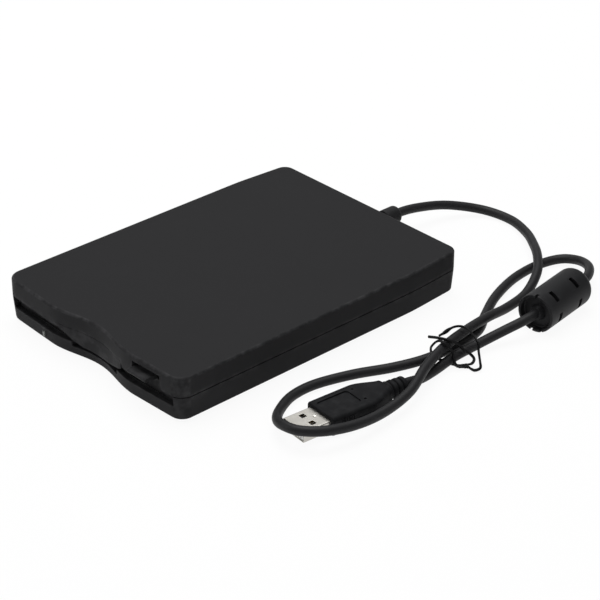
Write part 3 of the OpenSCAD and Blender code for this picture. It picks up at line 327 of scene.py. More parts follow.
def finish(name, base, rough, metal=0.0, grain=2600.0, depth=0.00002, mottle=0.12, wear_and_highlight=0.0, spread=0.08,
           specular=0.5, coat=0.0, stretch=None):
    """A moulded, rolled or turned surface: grain in its relief, mottling in its colour and roughness, and
    edges painted lighter where the piece's edge attribute says so, partly as scuffing and partly as a painted
    highlight."""
    made, nodes = material(name)
    place = nodes.place(stretch)
    fine = nodes.noise(place, grain, 3.0, Roughness=0.6)
    broad = nodes.noise(place, MOTTLE_SCALE, 4.0)
    tone = shaded(base, (broad - 0.5) * 0.8 + (fine - 0.5) * 0.4 + 0.5, 1 - mottle, 1 + mottle)
    roughness = rough + (broad - 0.5) * spread + (fine - 0.5) * spread
    # Edges painted lighter in patches, up to 1.6 times the base colour and a little smoother: partly a worn
    # look, partly a painted highlight along the edges.
    if wear_and_highlight:
        edge = nodes.add("ShaderNodeAttribute", attribute_name="edge")["Fac"]
        scuff_and_highlight_noise = nodes.noise(place, SCUFF_AND_HIGHLIGHT_SCALE, 5.0)
        near = edge * edge
        rubbed_and_highlight = near * near * ((scuff_and_highlight_noise - 0.4) * 4).at_least(0).at_most(1) * wear_and_highlight
        tone = nodes.blend(rubbed_and_highlight, tone, times(base, 1.6, 0.012))
        roughness = roughness - rubbed_and_highlight * 0.12
    return closed(made, nodes, {
        "Base Color": tone, "Roughness": roughness.at_least(0.05).at_most(1), "Metallic": metal,
        "Normal": nodes.bump(fine, depth, 0.6), "Specular IOR Level": specular, "Coat Weight": coat,
        "Coat Roughness": 0.12})


def moulded(name, base, rough, wear_and_highlight, specular=0.05, grain=2300.0, depth=0.00003, mottle=0.1):
    """A finely grained plastic of the case or of the lead's fittings."""
    return finish(name, base, rough, grain=grain, depth=depth, mottle=mottle, wear_and_highlight=wear_and_highlight, specular=specular)


def jacket(name, base):
    """Soft PVC of a lead: satin, with faint drag lines along it and shallow waves."""
    made, nodes = material(name)
    along = nodes.add("ShaderNodeUVMap", uv_map="along")[0]
    lines = nodes.noise(nodes.mapped(along, (60.0, 1400.0, 1.0)), 1.0, 3.0)  # drawn out along the lead
    place = nodes.place()
    fine = nodes.noise(place, 1900.0, 2.0)
    broad = nodes.noise(place, 70.0, 3.0)
    return closed(made, nodes, {
        "Base Color": shaded(base, (broad - 0.5) + (lines - 0.5) * 0.6 + 0.5, 0.8, 1.25),
        "Roughness": 0.5 + (broad - 0.5) * 0.16, "Normal": nodes.bump(lines * 0.6 + fine * 0.4, 0.00003, 0.5),
        "Specular IOR Level": 0.2})


def board(name, base):
    """Printed circuit: solder mask over faint copper tracks, with small round vias."""
    made, nodes = material(name)
    place = nodes.place()
    tracks = nodes.add("ShaderNodeTexBrick", {
        "Vector": place, "Scale": TRACK_SCALE, "Mortar Size": 0.06, "Mortar Smooth": 0.2,
        "Color1": (0, 0, 0, 1), "Color2": (0, 0, 0, 1), "Mortar": (1, 1, 1, 1)},
        offset=0.5, squash=2.0, squash_frequency=3)["Fac"]
    cells = nodes.add("ShaderNodeTexVoronoi", {"Vector": place, "Scale": VIA_SCALE}, feature="F1")
    vias = cells["Distance"] < 0.09
    broad = nodes.noise(place, 90.0, 3.0)
    tone = nodes.blend(tracks * 0.55, shaded(base, broad, 0.8, 1.2), times(base, 2.2))
    return closed(made, nodes, {
        "Base Color": nodes.blend(vias, tone, (0.75, 0.72, 0.62, 1)), "Metallic": vias,
        "Roughness": 0.32 + (broad - 0.5) * 0.15, "Normal": nodes.bump(tracks + vias, 0.00003, 0.7)})


def striped(name, bases, pitch, offset):
    """Bands of colour side by side across X, as on a ribbon or a row of wires."""
    made, nodes = material(name)
    place = nodes.place()
    ramp = nodes.add("ShaderNodeValToRGB", {0: nodes.along(place, 0) / pitch + offset})
    ramp.node.color_ramp.interpolation = "CONSTANT"
    stops = ramp.node.color_ramp.elements
    while len(stops) < len(bases):
        stops.new(0.5)
    for i, (stop, shade) in enumerate(zip(stops, bases)):
        stop.position, stop.color = i / len(bases), (*shade, 1)
    fine = nodes.noise(place, 900.0, 2.0)
    return closed(made, nodes, {
        "Base Color": ramp[0], "Roughness": 0.35 + (fine - 0.5) * 0.1,
        "Normal": nodes.bump(fine, 0.00002, 0.5)})


def wound(name, base, pitch):
    """Enamelled wire laid turn by turn: ridges that follow each other up Z, with painted shade in the grooves
    between the turns.
    """
    made, nodes = material(name)
    place = nodes.place()
    ridge = (nodes.along(place, 2) * (2 * math.pi / pitch)).cos() * 0.5 + 0.5
    broad = nodes.noise(place, 400.0, 2.0)
    # The colour falls to 0.45 of the base in the grooves: painted shade between the turns, with slightly
    # lighter crests.
    return closed(made, nodes, {
        "Base Color": shaded(base, ridge * 0.7 + broad * 0.3, 0.45, 1.15),
        "Roughness": 0.28 + (broad - 0.5) * 0.1, "Metallic": 0.9, "Normal": nodes.bump(ridge, 0.00006, 0.9)})


# ---- Meshes ----


def piece(name, mesh):
    """A new object at the origin that holds the mesh."""
    made = bpy.data.objects.new(name, mesh)
    bpy.context.scene.collection.objects.link(made)
    return made


def from_bmesh(name, bm):
    mesh = bpy.data.meshes.new(name)
    bm.to_mesh(mesh)
    bm.free()
    return piece(name, mesh)


def settle(obj):
    """Turns an object with its modifiers into a plain mesh."""
    bpy.context.view_layer.update()
    graph = bpy.context.evaluated_depsgraph_get()
    mesh = bpy.data.meshes.new_from_object(
        obj.evaluated_get(graph), preserve_all_data_layers=True, depsgraph=graph)
    if not mesh.polygons:
        raise RuntimeError(f"{obj.name} came out empty")
    obj.modifiers.clear()
    old = obj.data
    obj.data = mesh
    mesh.name = obj.name
    bpy.data.meshes.remove(old)
    return obj


def cut(obj, cutters, operation="DIFFERENCE"):
    """Cuts the cutters out of the object, or joins them to it, one after another."""
    for cutter in cutters:
        step = obj.modifiers.new("cut", "BOOLEAN")
        step.operation, step.solver, step.object = operation, "EXACT", cutter
    settle(obj)
    for cutter in cutters:
        bpy.data.objects.remove(cutter)
    return obj


def rounded(obj, width, segments=3, angle=40.0, weights=False):
    """Rounds the sharp edges of a piece, or the ones with a bevel weight."""
    bevel = obj.modifiers.new("rounded", "BEVEL")
    bevel.width, bevel.segments = width * MM, segments
    bevel.limit_method = "WEIGHT" if weights else "ANGLE"
    bevel.angle_limit = math.radians(angle)
    bevel.use_clamp_overlap = True
    bevel.miter_outer = "MITER_ARC"
    return settle(obj)


def smoothed(obj, angle=34.0):
    """Smooth shading up to an angle in degrees, and an attribute that is 1 where the surface turns.
    The finishes paint such edges lighter with it, partly as worn edges and partly as a painted highlight.
    """
    full_turn = math.radians(9)
    mesh = obj.data
    bm = bmesh.new()
    bm.from_mesh(mesh)
    bmesh.ops.remove_doubles(bm, verts=bm.verts, dist=1e-6)
    bm.normal_update()
    edge = bm.verts.layers.float.new("edge")
    for face in bm.faces:
        face.smooth = True
    for e in bm.edges:
        turn = e.calc_face_angle(0.0)
        e.smooth = turn < math.radians(angle)
        for v in e.verts:
            v[edge] = min(1.0, max(v[edge], turn / full_turn))
    bm.to_mesh(mesh)
    bm.free()
    weighted = obj.modifiers.new("normals", "WEIGHTED_NORMAL")
    weighted.mode, weighted.weight, weighted.keep_sharp = "FACE_AREA", 50, True
    return settle(obj)


def dress(obj, finish_made, body, slot, *nodes):
    """Gives a piece its finish and its body, and hides the nodes that it stands for; slot is not used."""
    obj.data.materials.clear()
    obj.data.materials.append(finish_made)
    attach(obj, body)
    if nodes:
        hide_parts(*nodes)
    return obj


def completed(obj, bevel, made, body, slot, node, smooth=34.0):
    """Rounds a piece's edges, smooths it and dresses it. bevel holds the values that rounded() takes."""
    if bevel[0]:
        rounded(obj, *bevel)
    return dress(smoothed(obj, smooth), made, body, slot, node)


def loft(bm, rings):
    """Skins rings of points into a closed surface."""
    rows = [[bm.verts.new(p) for p in ring] for ring in rings]
    n = len(rows[0])
    for low, high in zip(rows, rows[1:]):
        for i in range(n):
            k = (i + 1) % n
            bm.faces.new((low[i], low[k], high[k], high[i]))
    bm.faces.new(rows[0][::-1])
    bm.faces.new(rows[-1])
    return rows


def lofted(name, rings):
    bm = bmesh.new()
    loft(bm, rings)
    bmesh.ops.recalc_face_normals(bm, faces=bm.faces)
    return from_bmesh(name, bm)


def turned(name, profile, place, steps=64):
    """A turned piece: profile is (radius, height) from one end of its axis to the other."""
    turns = [2 * math.pi * i / steps for i in range(steps)]
    return lofted(name, [[(place @ Vector((r * math.cos(a), r * math.sin(a), z))) * MM for a in turns]
                         for r, z in profile])


def prism(name, outline, axis, low, high, place=Matrix()):
    """A solid with straight sides: an outline across an axis (0, 1 or 2), from low to high along it."""
    return lofted(name, [[(place @ Vector((*pair[:axis], level, *pair[axis:]))) * MM for pair in outline]
                         for level in (low, high)])


def block(name, x0, x1, y0, y1, z0, z1, place=Matrix()):
    return prism(name, [(x0, y0), (x1, y0), (x1, y1), (x0, y1)], 2, z0, z1, place)


def arc(cx, cy, r, start, end, steps):
    """Points on an arc; the angles are in degrees."""
    turn = [math.radians(start + (end - start) * i / steps) for i in range(steps + 1)]
    return [(cx + r * math.cos(a), cy + r * math.sin(a)) for a in turn]


def circle(cx, cy, r, steps):
    return arc(cx, cy, r, 0, 360, steps)[:-1]


def spline(points, steps, start, end):
    """The smooth route that the part's source gives its tubes, with more points."""
    p = [Vector(q) for q in points]
    first = p[1] - 2 * (p[1] - p[0]).length * Vector(start)
    last = p[-2] + 2 * (p[-1] - p[-2]).length * Vector(end)
    q = [first, *p, last]
    made = []
    for i in range(1, len(p)):
        for k in range(steps):
            t = k / steps
            made.append(0.5 * (2 * q[i] + (q[i + 1] - q[i - 1]) * t
                               + (2 * q[i - 1] - 5 * q[i] + 4 * q[i + 1] - q[i + 2]) * t * t
                               + (3 * q[i] - q[i - 1] - 3 * q[i + 1] + q[i + 2]) * t ** 3))
    return [*made, p[-1]]


def swept(name, route, section, turns=None):
    """Carries a section along a route without twisting it, and lays a UV map along it in metres.
    section is (sideways, upwards); turns gives an angle and a width at each point."""
    last = len(route) - 1
    tangents = [(route[min(i + 1, last)] - route[max(i - 1, 0)]).normalized() for i in range(last + 1)]
    side = tangents[0].cross(Vector((0, 0, 1))).normalized()
    run, rings, runs = 0.0, [], []
    for i, (point, tangent) in enumerate(zip(route, tangents)):
        side = (side - tangent * side.dot(tangent)).normalized()
        up = side.cross(tangent).normalized()
        if i:
            run += (point - route[i - 1]).length
        angle, wide = turns(run) if turns else (0.0, 1.0)
        c, s = math.cos(angle), math.sin(angle)
        rings.append([(point + side * (u * wide * c - v * s) + up * (u * wide * s + v * c)) * MM
                      for u, v in section])
        runs.append(run * MM)
    bm = bmesh.new()
    rows = loft(bm, rings)
    uv = bm.loops.layers.uv.new("along")
    where = {v: (runs[j], i) for j, row in enumerate(rows) for i, v in enumerate(row)}
    around = sum((Vector(a) - Vector(b)).length for a, b in zip(section, section[1:] + section[:1])) * MM
    n = len(section)
    for face in bm.faces:
        columns = [where[loop.vert][1] for loop in face.loops]
        wraps = max(columns) - min(columns) > 1
        for loop, column in zip(face.loops, columns):
            column += n if wraps and column == 0 and len(face.verts) == 4 else 0
            loop[uv].uv = (where[loop.vert][0], column / n * around)
    bmesh.ops.recalc_face_normals(bm, faces=bm.faces)
    return from_bmesh(name, bm)


def merged_copy(node, name):
    """A copy of a CAD node's mesh with its triangles joined into clean faces."""
    bm = bmesh.new()
    bm.from_mesh(FRAME["nodes"][node].data)
    bmesh.ops.remove_doubles(bm, verts=bm.verts, dist=2e-6)
    bmesh.ops.dissolve_limit(bm, angle_limit=math.radians(0.6), verts=bm.verts, edges=bm.edges)
    return from_bmesh(name, bm)


def grown(name, build, made, inputs=None, start=None):
    """Runs a geometry tree over a start mesh and keeps the result as a plain mesh with its finish.
    build(nodes, entry) gives the geometry's socket; inputs are the tree's own sizes and counts."""
    tree = bpy.data.node_groups.new(name, "GeometryNodeTree")
    kinds = {float: "NodeSocketFloat", int: "NodeSocketInt"}
    values = {"Finish": made, **(inputs or {})}

    def socket(key, kind, side="INPUT"):
        return tree.interface.new_socket(name=key, in_out=side, socket_type=kind)

    socket("Geometry", "NodeSocketGeometry")
    sockets = {key: socket(key, kinds.get(type(value), "NodeSocketMaterial"))
               for key, value in values.items()}
    socket("Geometry", "NodeSocketGeometry", "OUTPUT")
    nodes = Nodes(tree)
    entry = nodes.add("NodeGroupInput")
    result = nodes.add("GeometryNodeRealizeInstances", {0: build(nodes, entry)})[0]
    result = nodes.add("GeometryNodeSetMaterial", {0: result, 2: entry["Finish"]})[0]
    nodes.add("NodeGroupOutput", {0: result})
    obj = start or piece(name, bpy.data.meshes.new(name))
    modifier = obj.modifiers.new("tree", "NODES")
    modifier.node_group = tree
    for key, value in values.items():
        modifier[sockets[key].identifier] = value
    settle(obj)
    bpy.data.node_groups.remove(tree)
    return obj


# ---- The stage ----


class DRIVE_OT_stage(bpy.types.Operator):
    """Makes the pale floor, the soft studio lamps and the camera"""

    bl_idname = "drive.stage"
    bl_label = "Stage"

    lamps = [
        # name, place and aim in metres, size in metres, watts
        ("lamp_above", (-0.25, 0.15, 1.3), (0, 0, 0), 1.2, 16.5),
        ("lamp_back", (-1.1, 0.9, 0.95), (0, 0, 0), 1.1, 1.6),
        ("lamp_front_left", (-1.0, -1.1, 0.75), (0, 0, 0), 0.9, 4.0),
        ("lamp_right", (1.2, -0.3, 0.9), (0.05, 0, 0), 0.8, 0.6),
    ]

    def lamp(self, name, place, aim, size, watts):
        data = bpy.data.lights.new(name, "AREA")
        data.shape, data.size, data.energy = "DISK", size, watts
        obj = bpy.data.objects.new(name, data)
        bpy.context.scene.collection.objects.link(obj)
        obj.location = place
        obj.rotation_euler = (Vector(aim) - Vector(place)).to_track_quat("-Z", "Y").to_euler()

    def seen(self, nodes, *rays):
        """1 for the kinds of ray that are to see plain white."""
        path = nodes.add("ShaderNodeLightPath")
        total = path[rays[0]]
        for ray in rays[1:]:
            total = total + path[ray]
        return total.at_most(1)

    def floor(self):
        """A matte floor that is white to the camera and pale to everything else."""
        made, nodes = material("floor_paper")
        seen = self.seen(nodes, "Is Camera Ray", "Is Glossy Ray", "Is Transmission Ray")
        tone = shaded(colours().floor, nodes.noise(nodes.place(), 300.0, 3.0), 0.99, 1.01)
        matte = nodes.add("ShaderNodeBsdfDiffuse", {"Color": tone})[0]
        white = nodes.add("ShaderNodeEmission", {"Color": (1, 1, 1, 1), "Strength": 1.0})[0]
        mix = nodes.add("ShaderNodeMixShader", {0: seen * 0.93, 1: matte, 2: white})[0]
        nodes.add("ShaderNodeOutputMaterial", {"Surface": mix})
        bm = bmesh.new()
        bmesh.ops.create_circle(bm, cap_ends=True, segments=96, radius=4.0)
        obj = from_bmesh("floor", bm)
        obj.data.materials.append(made)

    def world(self):
        world = bpy.data.worlds.new("studio")
        bpy.context.scene.world = world
        world.use_nodes = True
        world.node_tree.nodes.clear()
        nodes = Nodes(world.node_tree)
        seen = self.seen(nodes, "Is Camera Ray", "Is Transmission Ray")
        soft, white = [nodes.add("ShaderNodeBackground", {"Color": (1, 1, 1, 1), "Strength": level})[0]
                       for level in (0.3, 1.0)]
        mix = nodes.add("ShaderNodeMixShader", {0: seen, 1: soft, 2: white})[0]
        nodes.add("ShaderNodeOutputWorld", {"Surface": mix})

    def camera(self):
        """The camera stands and looks as the one that took the photograph did."""
        data = bpy.data.cameras.new("camera")
        data.lens, data.sensor_width = 129.09, 36.0
        data.clip_start, data.clip_end = 0.05, 20
        obj = bpy.data.objects.new("camera", data)
        bpy.context.scene.collection.objects.link(obj)
        azimuth, elevation, roll = math.radians(47.654), math.radians(29.982), math.radians(-0.048)
        back = Vector((math.sin(azimuth) * math.cos(elevation), -math.cos(azimuth) * math.cos(elevation),
                       math.sin(elevation)))
        level = Vector((math.cos(azimuth), math.sin(azimuth), 0))
        lift = back.cross(level)
        right = math.cos(roll) * level + math.sin(roll) * lift
        up = -math.sin(roll) * level + math.cos(roll) * lift
        obj.matrix_world = Matrix((right, up, back)).transposed().to_4x4()
        obj.location = (0.55194, -0.46795, 0.42030)
        bpy.context.scene.camera = obj

    def execute(self, context):
        context.scene.view_settings.view_transform = "Standard"
        self.floor()
        self.world()
        for lamp in self.lamps:
            self.lamp(*lamp)
        self.camera()
        return {"FINISHED"}


# ---- Lead, strain relief, bead, tie and plug ----


def lead_runs():
    """Both runs of the lead: name, node, and the points of its middle line."""
    rearwards = Vector((0, 1, 0))
    return [
        ("lead_run", "usb_lead", spline(LEAD_ROUTE, 8, rearwards, BEAD_DIR)),
        ("lead_end", "lead_tail", spline(TAIL_ROUTE, 8, BEAD_DIR, -PLUG_DIR)),
    ]


class DRIVE_OT_lead(bpy.types.Operator):
    """Makes both runs of the lead along the part's own routes"""

    bl_idname = "drive.lead"
    bl_label = "Lead"

    def execute(self, context):
        skin = jacket("lead_jacket", colours().lead)
        section = circle(0, 0, sizes().lead_width / MM / 2, 24)
        for name, node, route in lead_runs():
            dress(smoothed(swept(name, route, section)), skin, "case", "cord_rubber", node)
        return {"FINISHED"}


class DRIVE_OT_relief(bpy.types.Operator):
    """Makes the strain relief with its grooves, turned about the lead's exit"""

    bl_idname = "drive.relief"
    bl_label = "Strain relief"

    def groove(self, r, z0, z1, depth=0.9):
        return [(r, z0 - 0.25), (r - 0.25, z0), (r - depth, z0 + 0.1), (r - depth, z1 - 0.1), (r - 0.25, z1),
                (r, z1 + 0.25)]

    def execute(self, context):
        r, sleeve, tip = RELIEF_R, 3.8, 1.7
        inner, end = -FLANGE_IN, 16.0
        profile = [(0.01, inner - 1.6), (r + 0.4, inner - 1.6), (r + 0.7, inner - 1.3), (r + 0.7, inner),
                   (r - 0.7, inner), (r - 0.7, 0.1), (r - 0.2, 0.1), (r, 0.3), (r, 0.9), (r - 0.2, 1.1),
                   (sleeve - 0.9, 1.2), (sleeve - 0.9, 2.1), (sleeve - 0.2, 2.2),
                   *self.groove(sleeve, 4.0, 5.1), *self.groove(sleeve, 7.2, 8.3), (sleeve, end - tip),
                   *arc(sleeve - tip, end - tip, tip, 9, 90, 9), (1.95, end), (1.85, end - 0.25),
                   (0.01, end - 0.25)]
        place = Matrix.Translation((0, REAR_Y, RELIEF_Z)) @ Matrix.Rotation(-math.pi / 2, 4, "X")
        obj = smoothed(turned("strain_sleeve", profile, place), 50)
        made = moulded("relief_rubber", colours().lead, 0.55, 0.3, 0.15, 2400.0, 0.00002, 0.15)
        dress(obj, made, "case", "cord_rubber", "strain_relief")
        return {"FINISHED"}


class DRIVE_OT_bead(bpy.types.Operator):
    """Makes the ferrite bead's two-part housing with its rows of slots"""

    bl_idname = "drive.bead"
    bl_label = "Ferrite bead"

    def openings(self, run):
        """Slots in two rows and notches at both ends: turn, from z, to z, half width, depth."""
        slots = [(turn, z, z + 2.0, 2.4, 1.7) for z in (8.5, run - 7.3) for turn in (237, 165, 57, 345)]
        notches = [(turn, run - 1.6, run + 1, 0.55, 1.9) for turn in (113, 79, 270)]
        return [*slots, (315, -1, 2.4, 0.55, 1.9), *notches]

    def execute(self, context):
        r = sizes().bead_radius / MM
        shoulder = 3
        run = (BEAD_OUT - BEAD_IN).length
        profile = [(0.01, 0.35), (1.9, 0.35), (2.4, 0.0)]
        for degrees in range(0, 91, 9):
            a = math.radians(degrees)
            profile.append((r - shoulder + shoulder * math.sin(a), shoulder - shoulder * math.cos(a)))
        profile += [(r, run / 2), (r, run - 0.5), (r - 0.15, run - 0.12), (r - 0.5, run), (r - 0.9, run),
                    (r - 1.15, run - 0.25), (r - 1.3, run - 2.2), (r - 1.7, run - 2.5), (3.3, run - 2.3),
                    (2.4, run - 0.2), (1.95, run), (0.01, run)]
        turn = math.atan2(-BEAD_DIR.x, BEAD_DIR.y)
        place = (Matrix.Translation(BEAD_IN) @ Matrix.Rotation(turn, 4, "Z")
                 @ Matrix.Rotation(-math.pi / 2, 4, "X"))
        body = turned("bead_housing", profile, place, 96)
        cut(body, [block("slot", r - deep, r + 2, -half, half, z0, z1,
                         place @ Matrix.Rotation(math.radians(around), 4, "Z"))
                   for around, z0, z1, half, deep in self.openings(run)])
        made = moulded("bead_plastic", colours().plug, 0.5, 0.35, 0.15, 2200.0, 0.00002, 0.15)
        completed(body, (0.12, 2, 50), made, "case", "bead_plastic", "ferrite_bead")
        return {"FINISHED"}


class DRIVE_OT_tie(bpy.types.Operator):
    """Makes the wire tie: a flat plastic ribbon with a wire core"""

    bl_idname = "drive.tie"
    bl_label = "Wire tie"

    def lie(self, run):
        """Angle and width of the ribbon along its run: on edge over the bundle, wrung round itself at the
        right, and broad in the free loop."""
        twists = ((21.0, 9.0), (62.0, 8.0))  # where a twist starts and how long it is
        faces = ((82.0, 5.0), (100.0, 3.0))  # where the ribbon lies flat and how far that spreads
        wrung = sum(min(1.0, max(0.0, (run - start) / reach)) for start, reach in twists)
        broad = sum(math.exp(-((run - middle) / reach) ** 2) for middle, reach in faces)
        return math.radians(75) + wrung * 2.5 * math.pi - broad, 0.85 + 0.5 * broad

    def execute(self, context):
        half, flat, wire = 0.6, 0.26, 0.46
        core = arc(0, 0, wire, 40, 140, 4)
        section = [(half, -flat), (half, flat), *core]
        section += [(-x, -y) for x, y in section]
        obj = smoothed(swept("tie_ribbon", spline(TIE_ROUTE, 8, TIE_START, TIE_END), section, self.lie), 50)
        made = finish("tie_plastic", colours().tie, 0.45, grain=1500.0, mottle=0.2, specular=0.15)
        dress(obj, made, "case", "tie_plastic", "twist_tie")
        return {"FINISHED"}


class DRIVE_OT_plug(bpy.types.Operator):
    """Makes the plug: moulding, ribbed boot, plated shell, tongue and contacts"""

    bl_idname = "drive.plug"
    bl_label = "Plug"

    def execute(self, context):
        place = Matrix.Translation(PLUG_MOUTH) @ Matrix.Rotation(-PLUG_TURN, 4, "Z")
        self.moulding(place)
        self.metal(place)
        return {"FINISHED"}

    def section(self, w, h, r, y, place):
        """An upright rectangle with round corners, across the plug."""
        ring = []
        for sx, sz, start in ((1, -1, -90), (1, 1, 0), (-1, 1, 90), (-1, -1, 180)):
            for k in range(7):
                a = math.radians(start + 15 * k)
                ring.append((sx * (w / 2 - r) + r * math.cos(a), y, sz * (h / 2 - r) + r * math.sin(a)))
        return [(place @ Vector(p)) * MM for p in ring]

    def moulding(self, place):
        w, h, sunk = 15.4, 7.8, 0.5
        stations = [  # distance from the shell, how much narrower and lower, corner radius
            (0.0, 1.1, 0.9, 1.1), (0.12, 0.65, 0.5, 1.3), (0.4, 0.2, 0.18, 1.5), (0.9, 0, 0, 1.6),
            (9, 0, 0, 1.6), (18.6, 0, 0, 1.6), (19.8, 0.35, 0.05, 1.6), (21.2, 1.0, 0.12, 1.65),
            (23.4, 2.4, 0.25, 1.8), (25.6, 4.2, 0.35, 2.0), (27.2, 5.4, 0.45, 2.1), (28.2, 6.0, 0.5, 2.1),
            (29.2, 6.4, 0.6, 2.1), (29.6, 7.0, 1.0, 1.9),
        ]
        body = lofted("plug_grip", [self.section(w - dw, h - dh, r, SHELL_L + y, place)
                                    for y, dw, dh, r in stations])
        corners = ((3.1, 2.8, -90), (3.1, 14.0, 0), (-3.1, 14.0, 90), (-3.1, 2.8, 180))
        outline = [(x, SHELL_L + y) for cx, cy, start in corners
                   for x, y in arc(cx, cy, 1.5, start, start + 90, 6)]
        panel = prism("panel", outline, 2, h / 2 - sunk, h, place)
        hole = block("hole", -SHELL_W / 2 - 0.02, SHELL_W / 2 + 0.02, SHELL_L - 1, SHELL_L + 6,
                     -SHELL_H / 2 - 0.02, SHELL_H / 2 + 0.02, place)
        marks = [block("mark", x - 0.45, x + 0.45, SHELL_L + 17.0, SHELL_L + 17.9, h / 2 - sunk, h, place)
                 for x in (-3.9, 3.8)]
        grooves = [block("groove", x0, x1, SHELL_L + 9.4, SHELL_L + 24, -0.35, 0.35, place)
                   for x0, x1 in ((-9, -7.2), (7.2, 9))]
        cut(body, [panel, hole, *marks, *grooves])
        rounded(body, 0.14, 2, 55)
        made = moulded("plug_plastic", colours().plug, 0.6, 0.35, 0.05, 2200.0, 0.00002, 0.15)
        for obj in (smoothed(body), self.boot(place), self.ribs(made)):
            dress(obj, made, "case", "plug_plastic", "plug_moulding")

    def boot(self, place):
        """Turned boot: its ribs grow smaller towards the lead."""
        pitch, gap_r, end = 2.4, 2.62, SHELL_L + MOULDING_L
        profile = [(0.01, SHELL_L + 28.5), (3.2, SHELL_L + 28.5), (3.2, SHELL_L + 29.3)]
        for k in range(4):
            r, y = 3.7 - 0.15 * k, SHELL_L + 29.4 + pitch * k
            profile += [(r - 0.75, y - 0.05), (r - 0.2, y + 0.05), (r, y + 0.3), (r, y + 1.25),
                        (r - 0.2, y + 1.55), (r - 0.75, y + 1.7), (gap_r, y + 2.0)]
        profile += [(2.55, end - 0.3), (2.3, end), (1.95, end), (1.85, end - 0.3), (0.01, end - 0.3)]
        spin = place @ Matrix.Rotation(-math.pi / 2, 4, "X")
        return smoothed(turned("plug_boot", profile, spin, 48), 60)

    def ribs(self, made):
        """Grip ribs on both sides of the moulding, repeated by a geometry tree."""
        apart, first = 15.5 * MM, (SHELL_L + 4.3) * MM

        def build(nodes, entry):
            rib = nodes.add("GeometryNodeMeshCylinder", {
                "Vertices": 12, "Side Segments": 1, "Radius": 0.34 * MM, "Depth": entry["Rib height"]},
                fill_type="TRIANGLE_FAN")["Mesh"]
            line = nodes.add("GeometryNodeMeshLine", {
                "Count": entry["Ribs"], "Start Location": (apart / 2, first, 0.0),
                "Offset": nodes.add("ShaderNodeCombineXYZ", {1: entry["Rib pitch"]})[0]}, mode="OFFSET")[0]
            right = nodes.add("GeometryNodeInstanceOnPoints", {"Points": line, "Instance": rib})[0]
            left = nodes.add("GeometryNodeTransform", {0: right, "Translation": (-apart, 0, 0)})[0]
            both = nodes.add("GeometryNodeJoinGeometry", {0: [right, left]})[0]
            return nodes.add("GeometryNodeTransform", {
                0: both, "Translation": tuple(PLUG_MOUTH * MM), "Rotation": (0, 0, -PLUG_TURN)})[0]

        counts = {"Ribs": 6, "Rib pitch": 1.05 * MM, "Rib height": 4.4 * MM}
        return smoothed(grown("plug_ribs", build, made, counts))

    def metal(self, place):
        half, high, sheet, window = SHELL_W / 2, SHELL_H / 2, 0.3, 2.3
        shell = lofted("plug_can", [self.section(SHELL_W, SHELL_H, 0.5, y, place) for y in (0, SHELL_L + 6)])
        cutters = [lofted("mouth", [self.section(SHELL_W - 2 * sheet, SHELL_H - 2 * sheet, 0.3, y, place)
                                    for y in (-1, SHELL_L + 5)])]
        cutters += [block("window", x, x + window, 5.1, 7.3, -5, 5, place) for x in (-3.9, 1.6)]
        above = [(0.01, -0.62), (0.5, -0.55), (0.85, -0.38), (1.0, 0.0), (0.01, 0.5)]
        below = [(r, -z) for r, z in reversed(above)]
        for side, dimple in ((-1, below), (1, above)):
            spot = place @ Matrix.Translation((0, 9.3, side * (high + 0.42)))
            cutters.append(turned("dimple", dimple, spot, 24))
        cut(shell, cutters)
        nickel = finish("plug_nickel", colours().nickel, 0.34, metal=1.0, grain=1800.0, depth=0.000008,
                        mottle=0.05, spread=0.12, wear_and_highlight=0.2)
        completed(shell, (0.06, 2, 50), nickel, "case", "plug_steel", "plug_shell")
        tongue = block("plug_blade", -half + sheet, half - sheet, 0.4, SHELL_L + 5, -high + sheet,
                       -high + 2.1, place)
        white = finish("tongue_nylon", (0.78, 0.78, 0.75), 0.5, grain=1500.0, mottle=0.04)
        completed(tongue, (0.15, 2), white, "case", "white_nylon", "plug_tongue")
        gold = finish("contact_gold", (0.83, 0.58, 0.2), 0.25, metal=1.0, grain=900.0, mottle=0.06)
        strips = merged_copy("plug_contacts", "plug_strips")
        completed(strips, (0.05, 2), gold, "case", "gold_plate", "plug_contacts")


# ---- The two shells ----


GRID_STEP = 1.1  # about how far apart the upright lines of the front's grid stand


def columns():
    """Places across the front where the wall's grid has an upright line: one at each opening's edge."""
    stops = sorted({-CORNER_X, CORNER_X, *LED[:2], *THUMB[:2], *NOTCH[:2]})
    made = []
    for low, high in zip(stops, stops[1:]):
        n = max(1, round((high - low) / GRID_STEP))
        made += [low + (high - low) * i / n for i in range(n)]
    return [*made, stops[-1]]


FRONT_COLUMNS = columns()


def plan(inset):
    """Plan outline of the case drawn in by an inset, with its front still straight.
    Each point is (x, y, share of the front's shape that it takes)."""
    front = [(x, FRONT_Y + inset, 1.0) for x in FRONT_COLUMNS]
    r = FRONT_R - inset
    at_slot = math.asin((SLOT_HALF - CORNER_X) / r)
    side = [(CORNER_X + r * math.sin(a), FRONT_Y + FRONT_R - r * math.cos(a), 1.0)
            for a in (at_slot, *[math.radians(d) for d in range(30, 91, 10)])]
    turn = math.radians(TAPER_DEG)
    r = TAPER_R - inset
    side += [(HALF_W - TAPER_R + r * math.cos(turn * i / 4), TAPER_Y + r * math.sin(turn * i / 4), 0.0)
             for i in range(5)]
    end = (HALF_W - TAPER_R * (1 - math.cos(turn)), TAPER_Y + TAPER_R * math.sin(turn))
    run = (REAR_Y - REAR_R * (1 - math.sin(turn)) - end[1]) / math.cos(turn)
    cx = end[0] - run * math.sin(turn) - REAR_R * math.cos(turn)
    r = REAR_R - inset
    for i in range(8):
        a = turn + (math.pi / 2 - turn) * i / 7
        side.append((cx + r * math.cos(a), REAR_Y - REAR_R + r * math.sin(a), 0.0))
    return [*front, *side, *[(-x, y, share) for x, y, share in reversed(side)]]


